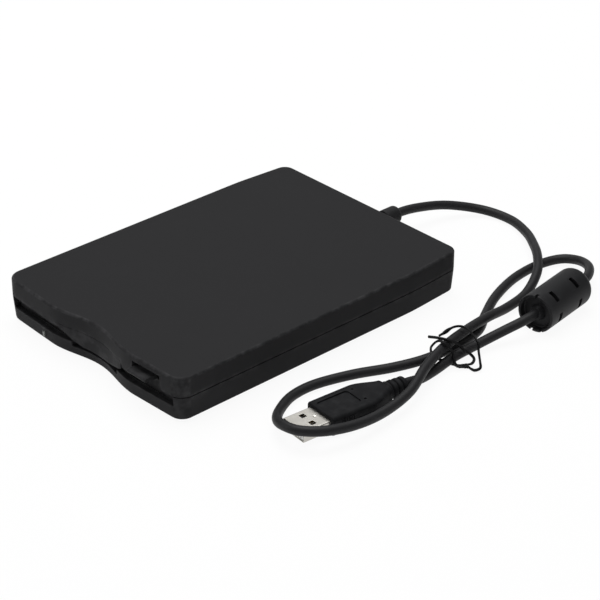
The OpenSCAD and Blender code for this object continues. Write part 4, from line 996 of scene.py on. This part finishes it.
def front_at(x):
    """How far the front stands behind its straight line, by the same rule as the geometry tree."""
    d = abs(min(CORNER_X, max(-CORNER_X, x)) - WAVE_X)
    half = sizes().wave_half / MM
    if d < half:
        return sizes().wave_depth / MM * (1 + math.cos(math.pi * d / half)) / 2
    return sizes().front_bow / MM * (d - half) / (CORNER_X + 1 - half)


def over_flap(x):
    """Whether a place across the front lies over the flap's raised middle."""
    return FLAP_FACE[0][0] < x < FLAP_FACE[-1][0]


def shell_wall(name, outer, inner, openings, lead_in=None):
    """A wall of two skins over the plan outline with openings through it. outer and inner are lists of
    (inset, z) from the seam on, and share their first levels; openings are (x0, x1, z0, z1). lead_in may
    move the points of the two skins once they are made."""
    bm = bmesh.new()
    share = bm.verts.layers.float.new("front_share")
    weight = bm.edges.layers.float.new("bevel_weight_edge")

    def row(inset, z):
        made = []
        for x, y, part in plan(inset):
            v = bm.verts.new((x * MM, y * MM, z * MM))
            v[share] = part
            made.append(v)
        return made

    out, into = [row(*level) for level in outer], [row(*level) for level in inner]
    base = plan(0)
    n = len(base)
    shared = min(len(outer), len(inner)) - 1

    def is_open(i, j):
        (xa, ya, _), (xb, yb, _) = base[i % n], base[(i + 1) % n]
        if j < 0 or j >= shared or max(ya, yb) > FRONT_Y + FRONT_R - 0.5:
            return False
        x, z = (xa + xb) / 2, (outer[j][1] + outer[j + 1][1]) / 2
        return any(x0 < x < x1 and z0 < z < z1 for x0, x1, z0, z1 in openings)

    for skin in (out, into):
        for j in range(len(skin) - 1):
            for i in range(n):
                if not is_open(i, j):
                    k = (i + 1) % n
                    bm.faces.new((skin[j][i], skin[j][k], skin[j + 1][k], skin[j + 1][i]))
        bm.faces.new(skin[-1])
    rims = []
    for i in range(n):
        k = (i + 1) % n
        if not is_open(i, 0):
            bm.faces.new((out[0][i], out[0][k], into[0][k], into[0][i]))
        for j in range(shared):
            if not is_open(i, j):
                continue
            # each side of this open cell: its neighbour, and the two grid points that end it
            sides = [((i - 1, j), (j, i), (j + 1, i)), ((i + 1, j), (j, k), (j + 1, k)),
                     ((i, j + 1), (j + 1, i), (j + 1, k))]
            if j:
                sides.append(((i, j - 1), (j, i), (j, k)))
            for neighbour, (ja, ia), (jb, ib) in sides:
                if not is_open(*neighbour):
                    bm.faces.new((out[ja][ia], out[jb][ib], into[jb][ib], into[ja][ia]))
                    rims.append((out[ja][ia], out[jb][ib]))
    for rim in rims:
        e = bm.edges.get(rim)
        if e:
            fine = all(over_flap(v.co.x / MM) and v.co.z > (SLOT_TOP - 0.1) * MM for v in e.verts)
            e[weight] = 0.25 if fine else 1.0
    if lead_in:
        lead_in(out, into)
    bmesh.ops.delete(bm, geom=[v for v in bm.verts if not v.link_faces], context="VERTS")
    bmesh.ops.recalc_face_normals(bm, faces=bm.faces)
    return from_bmesh(name, bm)


def waved(obj, made):
    """Bends the straight front into its wave: the rule is a geometry tree with its sizes as inputs."""

    def build(nodes, entry):
        place = nodes.add("GeometryNodeInputPosition")[0]
        x = nodes.add("ShaderNodeSeparateXYZ", {0: place})[0]
        part = nodes.add("GeometryNodeInputNamedAttribute", {"Name": "front_share"}, data_type="FLOAT")[0]
        d = abs(x.at_most(CORNER_X * MM).at_least(-CORNER_X * MM) - entry["Middle"])
        half = entry["Half width"]
        inside = d < half
        wave = (((d / half) * math.pi).cos() + 1) * 0.5 * entry["Depth"] * inside
        bow = (d - half) / ((CORNER_X + 1) * MM - half) * entry["Bow"] * (1 - inside)
        shift = nodes.add("ShaderNodeCombineXYZ", {1: (wave + bow) * part})[0]
        return nodes.add("GeometryNodeSetPosition", {"Geometry": entry["Geometry"], "Offset": shift})[0]

    size = sizes()
    return grown(obj.name, build, made, {
        "Depth": size.wave_depth, "Half width": size.wave_half, "Middle": WAVE_X * MM,
        "Bow": size.front_bow}, obj)


def round_hole(x, y, r, z0, z1, steps=40):
    """Round cutter or post along Z."""
    return prism("round", circle(x, y, r, steps), 2, z0, z1)


def exit_hole():
    """Cutter for the strain relief's hole through both shells."""
    return prism("exit", circle(0, RELIEF_Z, RELIEF_R - 0.6, 48), 1, REAR_Y - 4, REAR_Y + 1)


class DRIVE_OT_shells(bpy.types.Operator):
    """Makes the upper and the lower shell with the wave, the slot, the notches and the seam groove"""

    bl_idname = "drive.shells"
    bl_label = "Shells"

    groove = 0.4  # depth of the groove at the seam
    ring = 0.45  # from the rounded edge to the ring of points that keeps the edges' painted highlight and worn look off the broad face

    def execute(self, context):
        # The upper shell's edges are painted lighter than the lower's: a stronger painted highlight along the
        # top ridge, together with a more worn look.
        self.upper(moulded("case_plastic", colours().case, 0.55, 0.9))
        self.lower(moulded("case_plastic_lower", colours().case, 0.55, 0.6))
        return {"FINISHED"}

    def hang(self, out, into):
        """The upper edge of the slot hangs lower where the flap lies deeper, and slopes up towards it."""
        for outside, inside in zip(out[4], into[4]):
            x = outside.co.x / MM
            at_slot = abs(x) < SLOT_HALF + 0.01 and outside.co.y < (FRONT_Y + 2) * MM
            if at_slot and not over_flap(x) and not NOTCH[0] - 0.01 < x < NOTCH[1] + 0.01:
                deep = max(0.0, FLAP_Y - FRONT_Y - front_at(x))
                outside.co.z -= (0.42 if x < 0 else 0.62) * deep * MM
                inside.co.y = (max(inside.co.y / MM, FLAP_Y - 0.2 - front_at(x))) * MM
                inside.co.z += 0.1 * MM

    def upper(self, plastic):
        edge = sizes().top_edge / MM
        fillet = [(edge * (1 - math.cos(a)), CASE_Z1 - edge * (1 - math.sin(a)))
                  for a in map(math.radians, range(0, 91, 10))]
        outer = [(self.groove, SEAM_Z), (self.groove, 10.98), (0.1, 11.05), (0.0, 11.2), (0.0, SLOT_TOP),
                 (0.0, NOTCH[2]), *fillet, (edge + self.ring, CASE_Z1)]
        inner = [(UPPER_WALL, z) for _, z in outer[:6]] + [(UPPER_WALL, CEILING_Z)]
        openings = [(-SLOT_HALF, SLOT_HALF, 0, SLOT_TOP), (NOTCH[0], NOTCH[1], 0, NOTCH[2])]
        wall = shell_wall("shell_upper", outer, inner, openings, self.hang)
        waved(wall, plastic)
        rounded(wall, sizes().slot_rim / MM, 3, weights=True)
        posts = [round_hole(x, y, 2.6, SEAM_Z + 0.2, CEILING_Z + 0.4) for x, y in REAR_SCREWS]
        posts += [block("rib", x0, x1, y, y + 1.2, 15.9, CEILING_Z + 0.2)
                  for y in (-38, 42) for x0, x1 in ((-38, -12), (12, 38))]
        cut(wall, posts, "UNION")
        cut(wall, [*[round_hole(x, y, 1.15, SEAM_Z - 1, CEILING_Z - 1) for x, y in REAR_SCREWS], exit_hole()])
        dress(smoothed(wall), plastic, "case", "upper_shell", "top_cover")

    def drawn(self, z):
        """How far the draft draws the lower shell in at a height."""
        return DRAFT * (SEAM_Z - z) / (SEAM_Z - CASE_Z0)

    def lower(self, plastic):
        edge = sizes().bottom_edge / MM
        fillet = []
        for a in map(math.radians, range(90, -1, -10)):
            z = CASE_Z0 + edge * (1 - math.cos(a))
            fillet.append((edge * (1 - math.sin(a)) + self.drawn(z), z))
        outer = [(self.groove, SEAM_Z), (self.groove, 10.72), (0.1, 10.65), (0.03, 10.5),
                 *[(self.drawn(z), z) for z in (LIP_Z, LED[3], LED[2])], *fillet,
                 (edge + DRAFT + self.ring, CASE_Z0)]
        inner = [(LOWER_WALL, z) for _, z in outer[:7]] + [(LOWER_WALL, FLOOR_Z)]
        openings = [(-SLOT_HALF, SLOT_HALF, LIP_Z, 20), (THUMB[0], THUMB[1], THUMB[2], 20), LED]
        wall = shell_wall("shell_lower", outer, inner, openings)
        waved(wall, plastic)
        rounded(wall, sizes().slot_rim * 0.8 / MM, 3, weights=True)
        posts = [(REAR_SCREWS, 2.7, SEAM_Z), (FRAME_SCREWS, 3.0, 3.1)]
        cut(wall, [round_hole(x, y, r, FLOOR_Z - 0.5, top) for spots, r, top in posts for x, y in spots],
            "UNION")
        bore, head = 1.35, 2.4
        holes = [  # places, radius, top, steps
            (REAR_SCREWS, bore, SEAM_Z + 1, 40), (REAR_SCREWS, head, CASE_Z0 + 3, 40),
            (FRAME_SCREWS, bore, 4, 40), (FRAME_SCREWS, head, CASE_Z0 + 1.2, 40),
            (FEET, 5.05, CASE_Z0 + 0.4, 64),
        ]
        cut(wall, [*[round_hole(x, y, r, -1, top, steps) for spots, r, top, steps in holes for x, y in spots],
                   exit_hole()])
        self.soften_holes(wall)
        dress(smoothed(wall), plastic, "case", "lower_shell", "bottom_cover")

    def soften_holes(self, obj):
        """Rounds the mouths of the recesses in the underside."""
        bm = bmesh.new()
        bm.from_mesh(obj.data)
        bm.normal_update()
        mouths = [e for e in bm.edges if len(e.link_faces) == 2
                  and all(abs(v.co.z - CASE_Z0 * MM) < 1e-6 for v in e.verts) and e.calc_face_angle(0) > 1.2]
        bmesh.ops.bevel(bm, geom=mouths, offset=0.2 * MM, segments=3, profile=0.5, affect="EDGES")
        bm.to_mesh(obj.data)
        bm.free()


# ---- Flap, button, bezel and light pipe ----


class DRIVE_OT_front(bpy.types.Operator):
    """Makes the dust flap, the eject button, the bezel and the light pipe"""

    bl_idname = "drive.front"
    bl_label = "Front pieces"

    def execute(self, context):
        plastic = moulded("front_plastic", colours().front, 0.55, 0.6)
        self.flap(plastic)
        self.button(plastic)
        bezel = merged_copy("slot_bezel", "bezel_frame")
        completed(bezel, (0.12, 2), plastic, "case", "inner_plastic", "slot_bezel")
        clear = finish("light_pipe", (0.13, 0.14, 0.13), 0.3, grain=900.0, mottle=0.3, coat=0.3)
        pipe = merged_copy("led_light_pipe", "led_pipe")
        completed(pipe, (0.12, 2), clear, "case", "light_pipe", "led_light_pipe")
        return {"FINISHED"}

    def flap(self, plastic):
        half, low, thumb_low = FLAP_HALF, 7.0, 6.2
        left, right = WAVE_X - 10, WAVE_X + 10
        top = HINGE[1] + 0.35
        gap0, gap1 = -half + 0.6, -half + 3.4  # gap in the upper edge, where the spring lies
        outline = [(-half, low), (left, low), (left, thumb_low), (right, thumb_low), (right, low),
                   (half, low), (half, top), (gap1, top), (gap1, top - 1.0), (gap0, top - 1.0), (gap0, top),
                   (-half, top)]
        panel = prism("flap_panel", outline, 1, FLAP_Y, FLAP_Y + FLAP_T)
        bars = [(0.4, gap1, half), (0.4, -half, gap0), (0.38, -half - 1.0, -half + 0.5),
                (0.38, half - 0.5, half + 1.0)]
        extra = [prism("bar", circle(*HINGE, r, 24), 0, x0, x1) for r, x0, x1 in bars]
        extra.append(self.face(SLOT_TOP - 0.07))
        extra += [block("stiffener", x0, x1, FLAP_Y + 0.7, FLAP_Y + 1.1, low + 0.3, low + 0.9)
                  for x0, x1 in ((-half + 2, left - 1), (right + 1, half - 2))]
        cut(panel, extra, "UNION")
        completed(panel, (0.12, 2, 50), plastic, "flap", "flap_plastic", "slot_flap")

    def face(self, top):
        """The flap's raised middle: it carries the wave on, and its lower edge rises towards its ends."""
        back = FLAP_Y + 0.5
        line = []
        for (xa, za), (xb, zb) in zip(FLAP_FACE, FLAP_FACE[1:]):
            n = max(1, round((xb - xa) / GRID_STEP))
            line += [(xa + (xb - xa) * i / n, za + (zb - za) * i / n) for i in range(n)]
        rings = []
        for x, low in [*line, FLAP_FACE[-1]]:
            front = FRONT_Y + front_at(x) - 0.01
            corners = ((front, low), (back, low), (back, top), (front, top))
            rings.append([Vector((x, y, z)) * MM for y, z in corners])
        return lofted("face", rings)

    def button(self, plastic):
        x0, x1, z0, z1 = 26.6, 36.8, 12.75, 14.6
        notch_w, clear = 14.7, 0.75
        back, plate_y, plate_end = -62.1, -64.2, x0 + notch_w - clear
        nose = [(y - 0.22 * math.sin(math.radians(i * 14)), z)
                for i, (y, z) in enumerate(arc(-71.9, 13.65, 0.88, 270, 110, 12))]
        scoop = arc(-69.4, 18.4, 3.86, 262, 322, 10)
        profile = [(back, z0), *nose, *scoop, (-65.1, 16.25), (-64.3, 16.25), (plate_y, 16.1), (plate_y, z1),
                   (back, z1)]
        finger = prism("button_finger", profile, 0, x0, x1)
        cut(finger, [block("plate", x1 - 0.5, plate_end, plate_y - 1, plate_y, z0, 16.3)], "UNION")
        completed(finger, (0.28, 3, 42), plastic, "eject", "button_plastic", "eject_button")


# ---- Feet, screws and springs ----


def repeated(name, model, spots, made):
    """A geometry tree puts a copy of a model on each spot in the plan; the model itself is dropped."""

    def build(nodes, entry):
        one = nodes.add("GeometryNodeObjectInfo", {0: model})["Geometry"]
        copies = [nodes.add("GeometryNodeTransform", {0: one, "Translation": (x * MM, y * MM, 0)})[0]
                  for x, y in spots]
        return nodes.add("GeometryNodeJoinGeometry", {0: copies})[0]

    obj = grown(name, build, made)
    bpy.data.objects.remove(model)
    return smoothed(obj)


class DRIVE_OT_fastenings(bpy.types.Operator):
    """Makes the rubber feet and the screws in the underside"""

    bl_idname = "drive.fastenings"
    bl_label = "Feet and screws"

    def execute(self, context):
        rubber = finish("foot_rubber", (0.012, 0.012, 0.012), 0.75, grain=1500.0, depth=0.00004, mottle=0.3)
        profile = [(0.01, 0.12), (3.6, 0.12), (3.9, 0.0), (4.4, 0.0), (4.75, 0.12), (4.95, 0.45), (5.0, 0.9),
                   (5.0, 1.4), (0.01, 1.4)]
        feet = repeated("foot_pads", turned("pad", profile, Matrix(), 64), FEET, rubber)
        dress(feet, rubber, "case", "foot_rubber", "rubber_feet")
        zinc = finish("screw_black", (0.05, 0.05, 0.055), 0.35, metal=0.85, grain=1600.0, mottle=0.2,
                      wear_and_highlight=0.8)
        screws = [(REAR_SCREWS, CASE_Z0 + 3, SEAM_Z + 4.5), (FRAME_SCREWS, CASE_Z0 + 1.2, 4.9)]
        for spots, head, tip in screws:
            obj = repeated("screws_" + str(len(spots)), self.screw(head, tip), spots, zinc)
            dress(obj, zinc, "case", "black_screw", "case_screws")
        return {"FINISHED"}

    def screw(self, head, tip):
        """A screw that points up, with a cross in its head. head and tip are the heights of the head's upper
        face and of the point."""
        r, shank, root, pitch = 2.2, 1.15, 1.15 - 0.22, 0.62
        profile = [(0.01, head - 1.1), (1.3, head - 1.1), (1.85, head - 1.0), (2.12, head - 0.8),
                   (r, head - 0.5), (r, head), (shank - 0.25, head)]
        z = head
        while z < tip - 0.8:
            profile += [(root, z + 0.08), (shank, z + 0.3), (shank, z + 0.36), (root, z + 0.58)]
            z += pitch
        profile += [(shank - 0.3, tip - 0.1), (0.01, tip)]
        body = turned("screw", profile, Matrix(), 32)
        return cut(body, [block("cross", -1.3, 1.3, -0.27, 0.27, head - 1.6, head - 0.55,
                                Matrix.Rotation(math.radians(turn), 4, "Z")) for turn in (20, 110)])


def helix(name, r, wire, turns, run, place, made):
    """A wound spring, made by a geometry tree from a spiral. r and wire are radii."""

    def build(nodes, entry):
        spiral = nodes.add("GeometryNodeCurveSpiral", {
            "Resolution": 28, "Rotations": entry["Turns"], "Start Radius": r * MM, "End Radius": r * MM,
            "Height": entry["Length"]})[0]
        section = nodes.add("GeometryNodeCurvePrimitiveCircle", {
            "Resolution": 10, "Radius": entry["Wire radius"]}, mode="RADIUS")["Curve"]
        tube = nodes.add("GeometryNodeCurveToMesh", {0: spiral, 1: section, "Fill Caps": True})[0]
        return nodes.add("GeometryNodeTransform", {
            0: tube, "Translation": tuple(place.translation * MM), "Rotation": tuple(place.to_euler())})[0]

    return grown(name, build, made, {
        "Turns": float(turns), "Length": run * MM, "Wire radius": wire * MM})


class DRIVE_OT_springs(bpy.types.Operator):
    """Makes the flap's, the lever's and the two eject springs"""

    bl_idname = "drive.springs"
    bl_label = "Springs"

    def execute(self, context):
        steel = finish("spring_steel", (0.55, 0.55, 0.56), 0.25, metal=1.0, grain=1200.0, mottle=0.1)
        across = Matrix.Rotation(math.pi / 2, 4, "Y")
        rearwards = Matrix.Rotation(-math.pi / 2, 4, "X")
        springs = [  # name, node, coil radius, wire radius, turns, length, place
            ("flap_coil", "flap_spring", 0.55, 0.1, 6, 2.4, Matrix.Translation((-45.8, *HINGE)) @ across),
            ("lever_coil", "lever_spring", 2.05, 0.17, 4, 1.9, Matrix.Translation((-44, 33.4, 11.0))),
        ]
        for side, name in ((-1, "eject_coil_left"), (1, "eject_coil_right")):
            place = Matrix.Translation((side * 31, -13.8, 14.2)) @ rearwards
            springs.append((name, "eject_springs", 0.7, 0.18, 9, 14.8, place))
        for name, node, *shape in springs:
            coil = smoothed(helix(name, *shape, steel), 60)
            dress(coil, steel, "case", "spring_wire", node)
            if node == "eject_springs":
                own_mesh(coil)
        return {"FINISHED"}


# ---- The mechanism ----


class DRIVE_OT_mechanism(bpy.types.Operator):
    """Rounds the edges of the inner pieces and gives each its finish"""

    bl_idname = "drive.mechanism"
    bl_label = "Mechanism"

    def execute(self, context):
        zinc = finish("zinc_sheet", (0.52, 0.53, 0.55), 0.34, metal=1.0, grain=700.0, depth=0.000015,
                      mottle=0.12, spread=0.15, wear_and_highlight=0.3)
        rolled = finish("rolled_sheet", (0.6, 0.6, 0.61), 0.3, metal=1.0, grain=1200.0, depth=0.00001,
                        mottle=0.08, stretch=(1, 0.06, 1), spread=0.12, wear_and_highlight=0.3)
        bright = finish("turned_steel", (0.7, 0.7, 0.71), 0.18, metal=1.0, grain=2000.0, depth=0.000006,
                        mottle=0.05)
        bronze = finish("sintered_bronze", (0.55, 0.38, 0.16), 0.45, metal=1.0, grain=3000.0, mottle=0.25)
        iron = finish("motor_iron", (0.3, 0.3, 0.32), 0.4, metal=1.0, grain=1400.0, mottle=0.12,
                      stretch=(0.3, 0.3, 8))
        ferrite = finish("magnet_ferrite", (0.035, 0.033, 0.033), 0.55, grain=1800.0, mottle=0.3)
        ceramic = finish("head_ceramic", (0.26, 0.26, 0.28), 0.15, grain=1500.0, mottle=0.1, coat=0.3)
        filled = finish("carriage_plastic", (0.045, 0.045, 0.05), 0.42, grain=1300.0, mottle=0.2, wear_and_highlight=0.3)
        nylon = finish("white_nylon", (0.75, 0.75, 0.72), 0.45, grain=1600.0, mottle=0.05)
        epoxy = finish("chip_epoxy", (0.012, 0.012, 0.013), 0.5, grain=2600.0, mottle=0.3)
        cream = finish("connector_cream", (0.7, 0.66, 0.55), 0.45, grain=1500.0, mottle=0.06)
        mask = board("board_mask", (0.018, 0.12, 0.045))
        copper = wound("copper_wire", (0.62, 0.25, 0.09), 0.00022)
        ribbon = striped("ribbon_film", [(0.78, 0.78, 0.74), (0.5, 0.5, 0.5)], 0.001, 0.0)
        cores = striped("core_insulation", [(0.5, 0.02, 0.02), (0.75, 0.75, 0.72), (0.02, 0.3, 0.06),
                                            (0.012, 0.012, 0.012)], 0.008, 0.5)
        plans = [  # node, name, finish, slot, width of the rounded edges
            ("eject_slide", "slide_sheet", zinc, "sheet_steel", 0.12),
            ("disk_holder", "holder_sheet", rolled, "sheet_steel", 0.12),
            ("holder_pins", "holder_studs", bright, "turned_steel", 0.1),
            ("drive_frame", "frame_base", zinc, "frame_steel", 0.12),
            ("drive_shield", "frame_shield", rolled, "frame_steel", 0.12),
            ("trigger_lever", "lever_arm", zinc, "zinc_lever", 0.12),
            ("spindle_bearing", "spindle_bush", bronze, "bronze", 0.08),
            ("stator_core", "motor_core", iron, "motor_iron", 0.05),
            ("stator_coils", "motor_coils", copper, "copper_wire", 0.12),
            ("spindle_rotor", "rotor_cup", bright, "motor_iron", 0.08),
            ("rotor_magnet", "rotor_ring", ferrite, "magnet_ferrite", 0.08),
            ("chuck_plate", "chuck_disc", bright, "chuck_steel", 0.08),
            ("drive_pin", "chuck_pin", bright, "turned_steel", 0.1),
            ("head_carriage", "carriage_block", filled, "carriage_plastic", 0.12),
            ("lower_head", "head_below", ceramic, "head_ceramic", 0.08),
            ("head_arm", "carriage_arm", filled, "carriage_plastic", 0.1),
            ("upper_head", "head_above", ceramic, "head_ceramic", 0.08),
            ("guide_rod", "carriage_rod", bright, "turned_steel", 0.1),
            ("rod_clamps", "rod_blocks", zinc, "zinc_lever", 0.1),
            ("lead_screw", "carriage_screw", bright, "turned_steel", 0.0),
            ("screw_bearing", "screw_block", filled, "carriage_plastic", 0.1),
            ("stepper_motor", "stepper_can", rolled, "motor_can", 0.12),
            ("drive_board", "board_main", mask, "board_green", 0.04),
            ("board_chips", "chip_bodies", epoxy, "chip_epoxy", 0.08),
            ("sensor_switches", "switch_bodies", epoxy, "chip_epoxy", 0.08),
            ("protect_plunger", "plunger_protect", nylon, "white_nylon", 0.1),
            ("density_plunger", "plunger_density", nylon, "white_nylon", 0.1),
            ("presence_plunger", "plunger_presence", nylon, "white_nylon", 0.1),
            ("usb_board", "board_small", mask, "board_green", 0.04),
            ("usb_chip", "chip_small", epoxy, "chip_epoxy", 0.08),
            ("usb_crystal", "crystal_can", bright, "turned_steel", 0.15),
            ("ribbon_cable", "ribbon_strip", ribbon, "ribbon_white", 0.0),
            ("ribbon_sockets", "ribbon_clamps", cream, "connector_cream", 0.1),
            ("wire_header", "header_block", nylon, "white_nylon", 0.12),
            ("core_wires", "core_strands", cores, "core_insulation", 0.0),
        ]
        for node, name, made, slot, width in plans:
            body = FRAME["nodes"][node]["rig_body"]
            completed(merged_copy(node, name), (width, 2, 42), made, body, slot, node, 38)
        return {"FINISHED"}


class DRIVE_OT_declare(bpy.types.Operator):
    bl_idname = "drive.declare"
    bl_label = "Declare the cords"

    facts = {  # where it leaves, its far end, how it lies, and the pieces on it
        "lead_run": ((0, 89, 9.5), "fitting", "coiled", ["strain_sleeve", "bead_housing", "tie_ribbon"]),
        "lead_end": (tuple(BEAD_OUT), "plug", "loose",
                     ["plug_grip", "plug_boot", "plug_ribs", "plug_can", "plug_blade", "plug_strips"]),
    }

    def execute(self, context):
        objects = bpy.data.objects
        for name, _, points in lead_runs():
            leave, far_end, lay, names = self.facts[name]
            route = [list(p * MM) for p in points]
            run = sum((Vector(a) - Vector(b)).length for a, b in zip(route, route[1:]))
            objects[name]
            tuple(c * MM for c in leave)
            [objects[n] for n in names]
        return {"FINISHED"}


class DRIVE_PT_panel(bpy.types.Panel):
    """Lists the sizes, the colours and the steps"""

    bl_idname = "DRIVE_PT_panel"
    bl_label = "Floppy drive"
    bl_space_type = "VIEW_3D"
    bl_region_type = "UI"
    bl_category = "Drive"

    def draw(self, context):
        for group in (context.scene.drive_sizes, context.scene.drive_colours):
            box = self.layout.box()
            for key in group.bl_rna.properties.keys():
                if key not in {"rna_type", "name"}:
                    box.prop(group, key)
        for step in STEPS:
            self.layout.operator(step.bl_idname)


STEPS = [DRIVE_OT_stage, DRIVE_OT_lead, DRIVE_OT_relief, DRIVE_OT_bead, DRIVE_OT_tie, DRIVE_OT_plug,
         DRIVE_OT_shells, DRIVE_OT_front, DRIVE_OT_fastenings, DRIVE_OT_springs, DRIVE_OT_mechanism,
         DRIVE_OT_declare]
CLASSES = [DriveSizes, DriveColours, *STEPS, DRIVE_PT_panel]


def register():
    for cls in CLASSES:
        bpy.utils.register_class(cls)
    bpy.types.Scene.drive_sizes = bpy.props.PointerProperty(type=DriveSizes)
    bpy.types.Scene.drive_colours = bpy.props.PointerProperty(type=DriveColours)


def unregister():
    del bpy.types.Scene.drive_colours
    del bpy.types.Scene.drive_sizes
    for cls in reversed(CLASSES):
        bpy.utils.unregister_class(cls)


def main():
    """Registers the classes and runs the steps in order."""
    register()
    for step in STEPS:
        group, name = step.bl_idname.split(".")
        getattr(getattr(bpy.ops, group), name)()


if __name__ == "__main__":
    main()
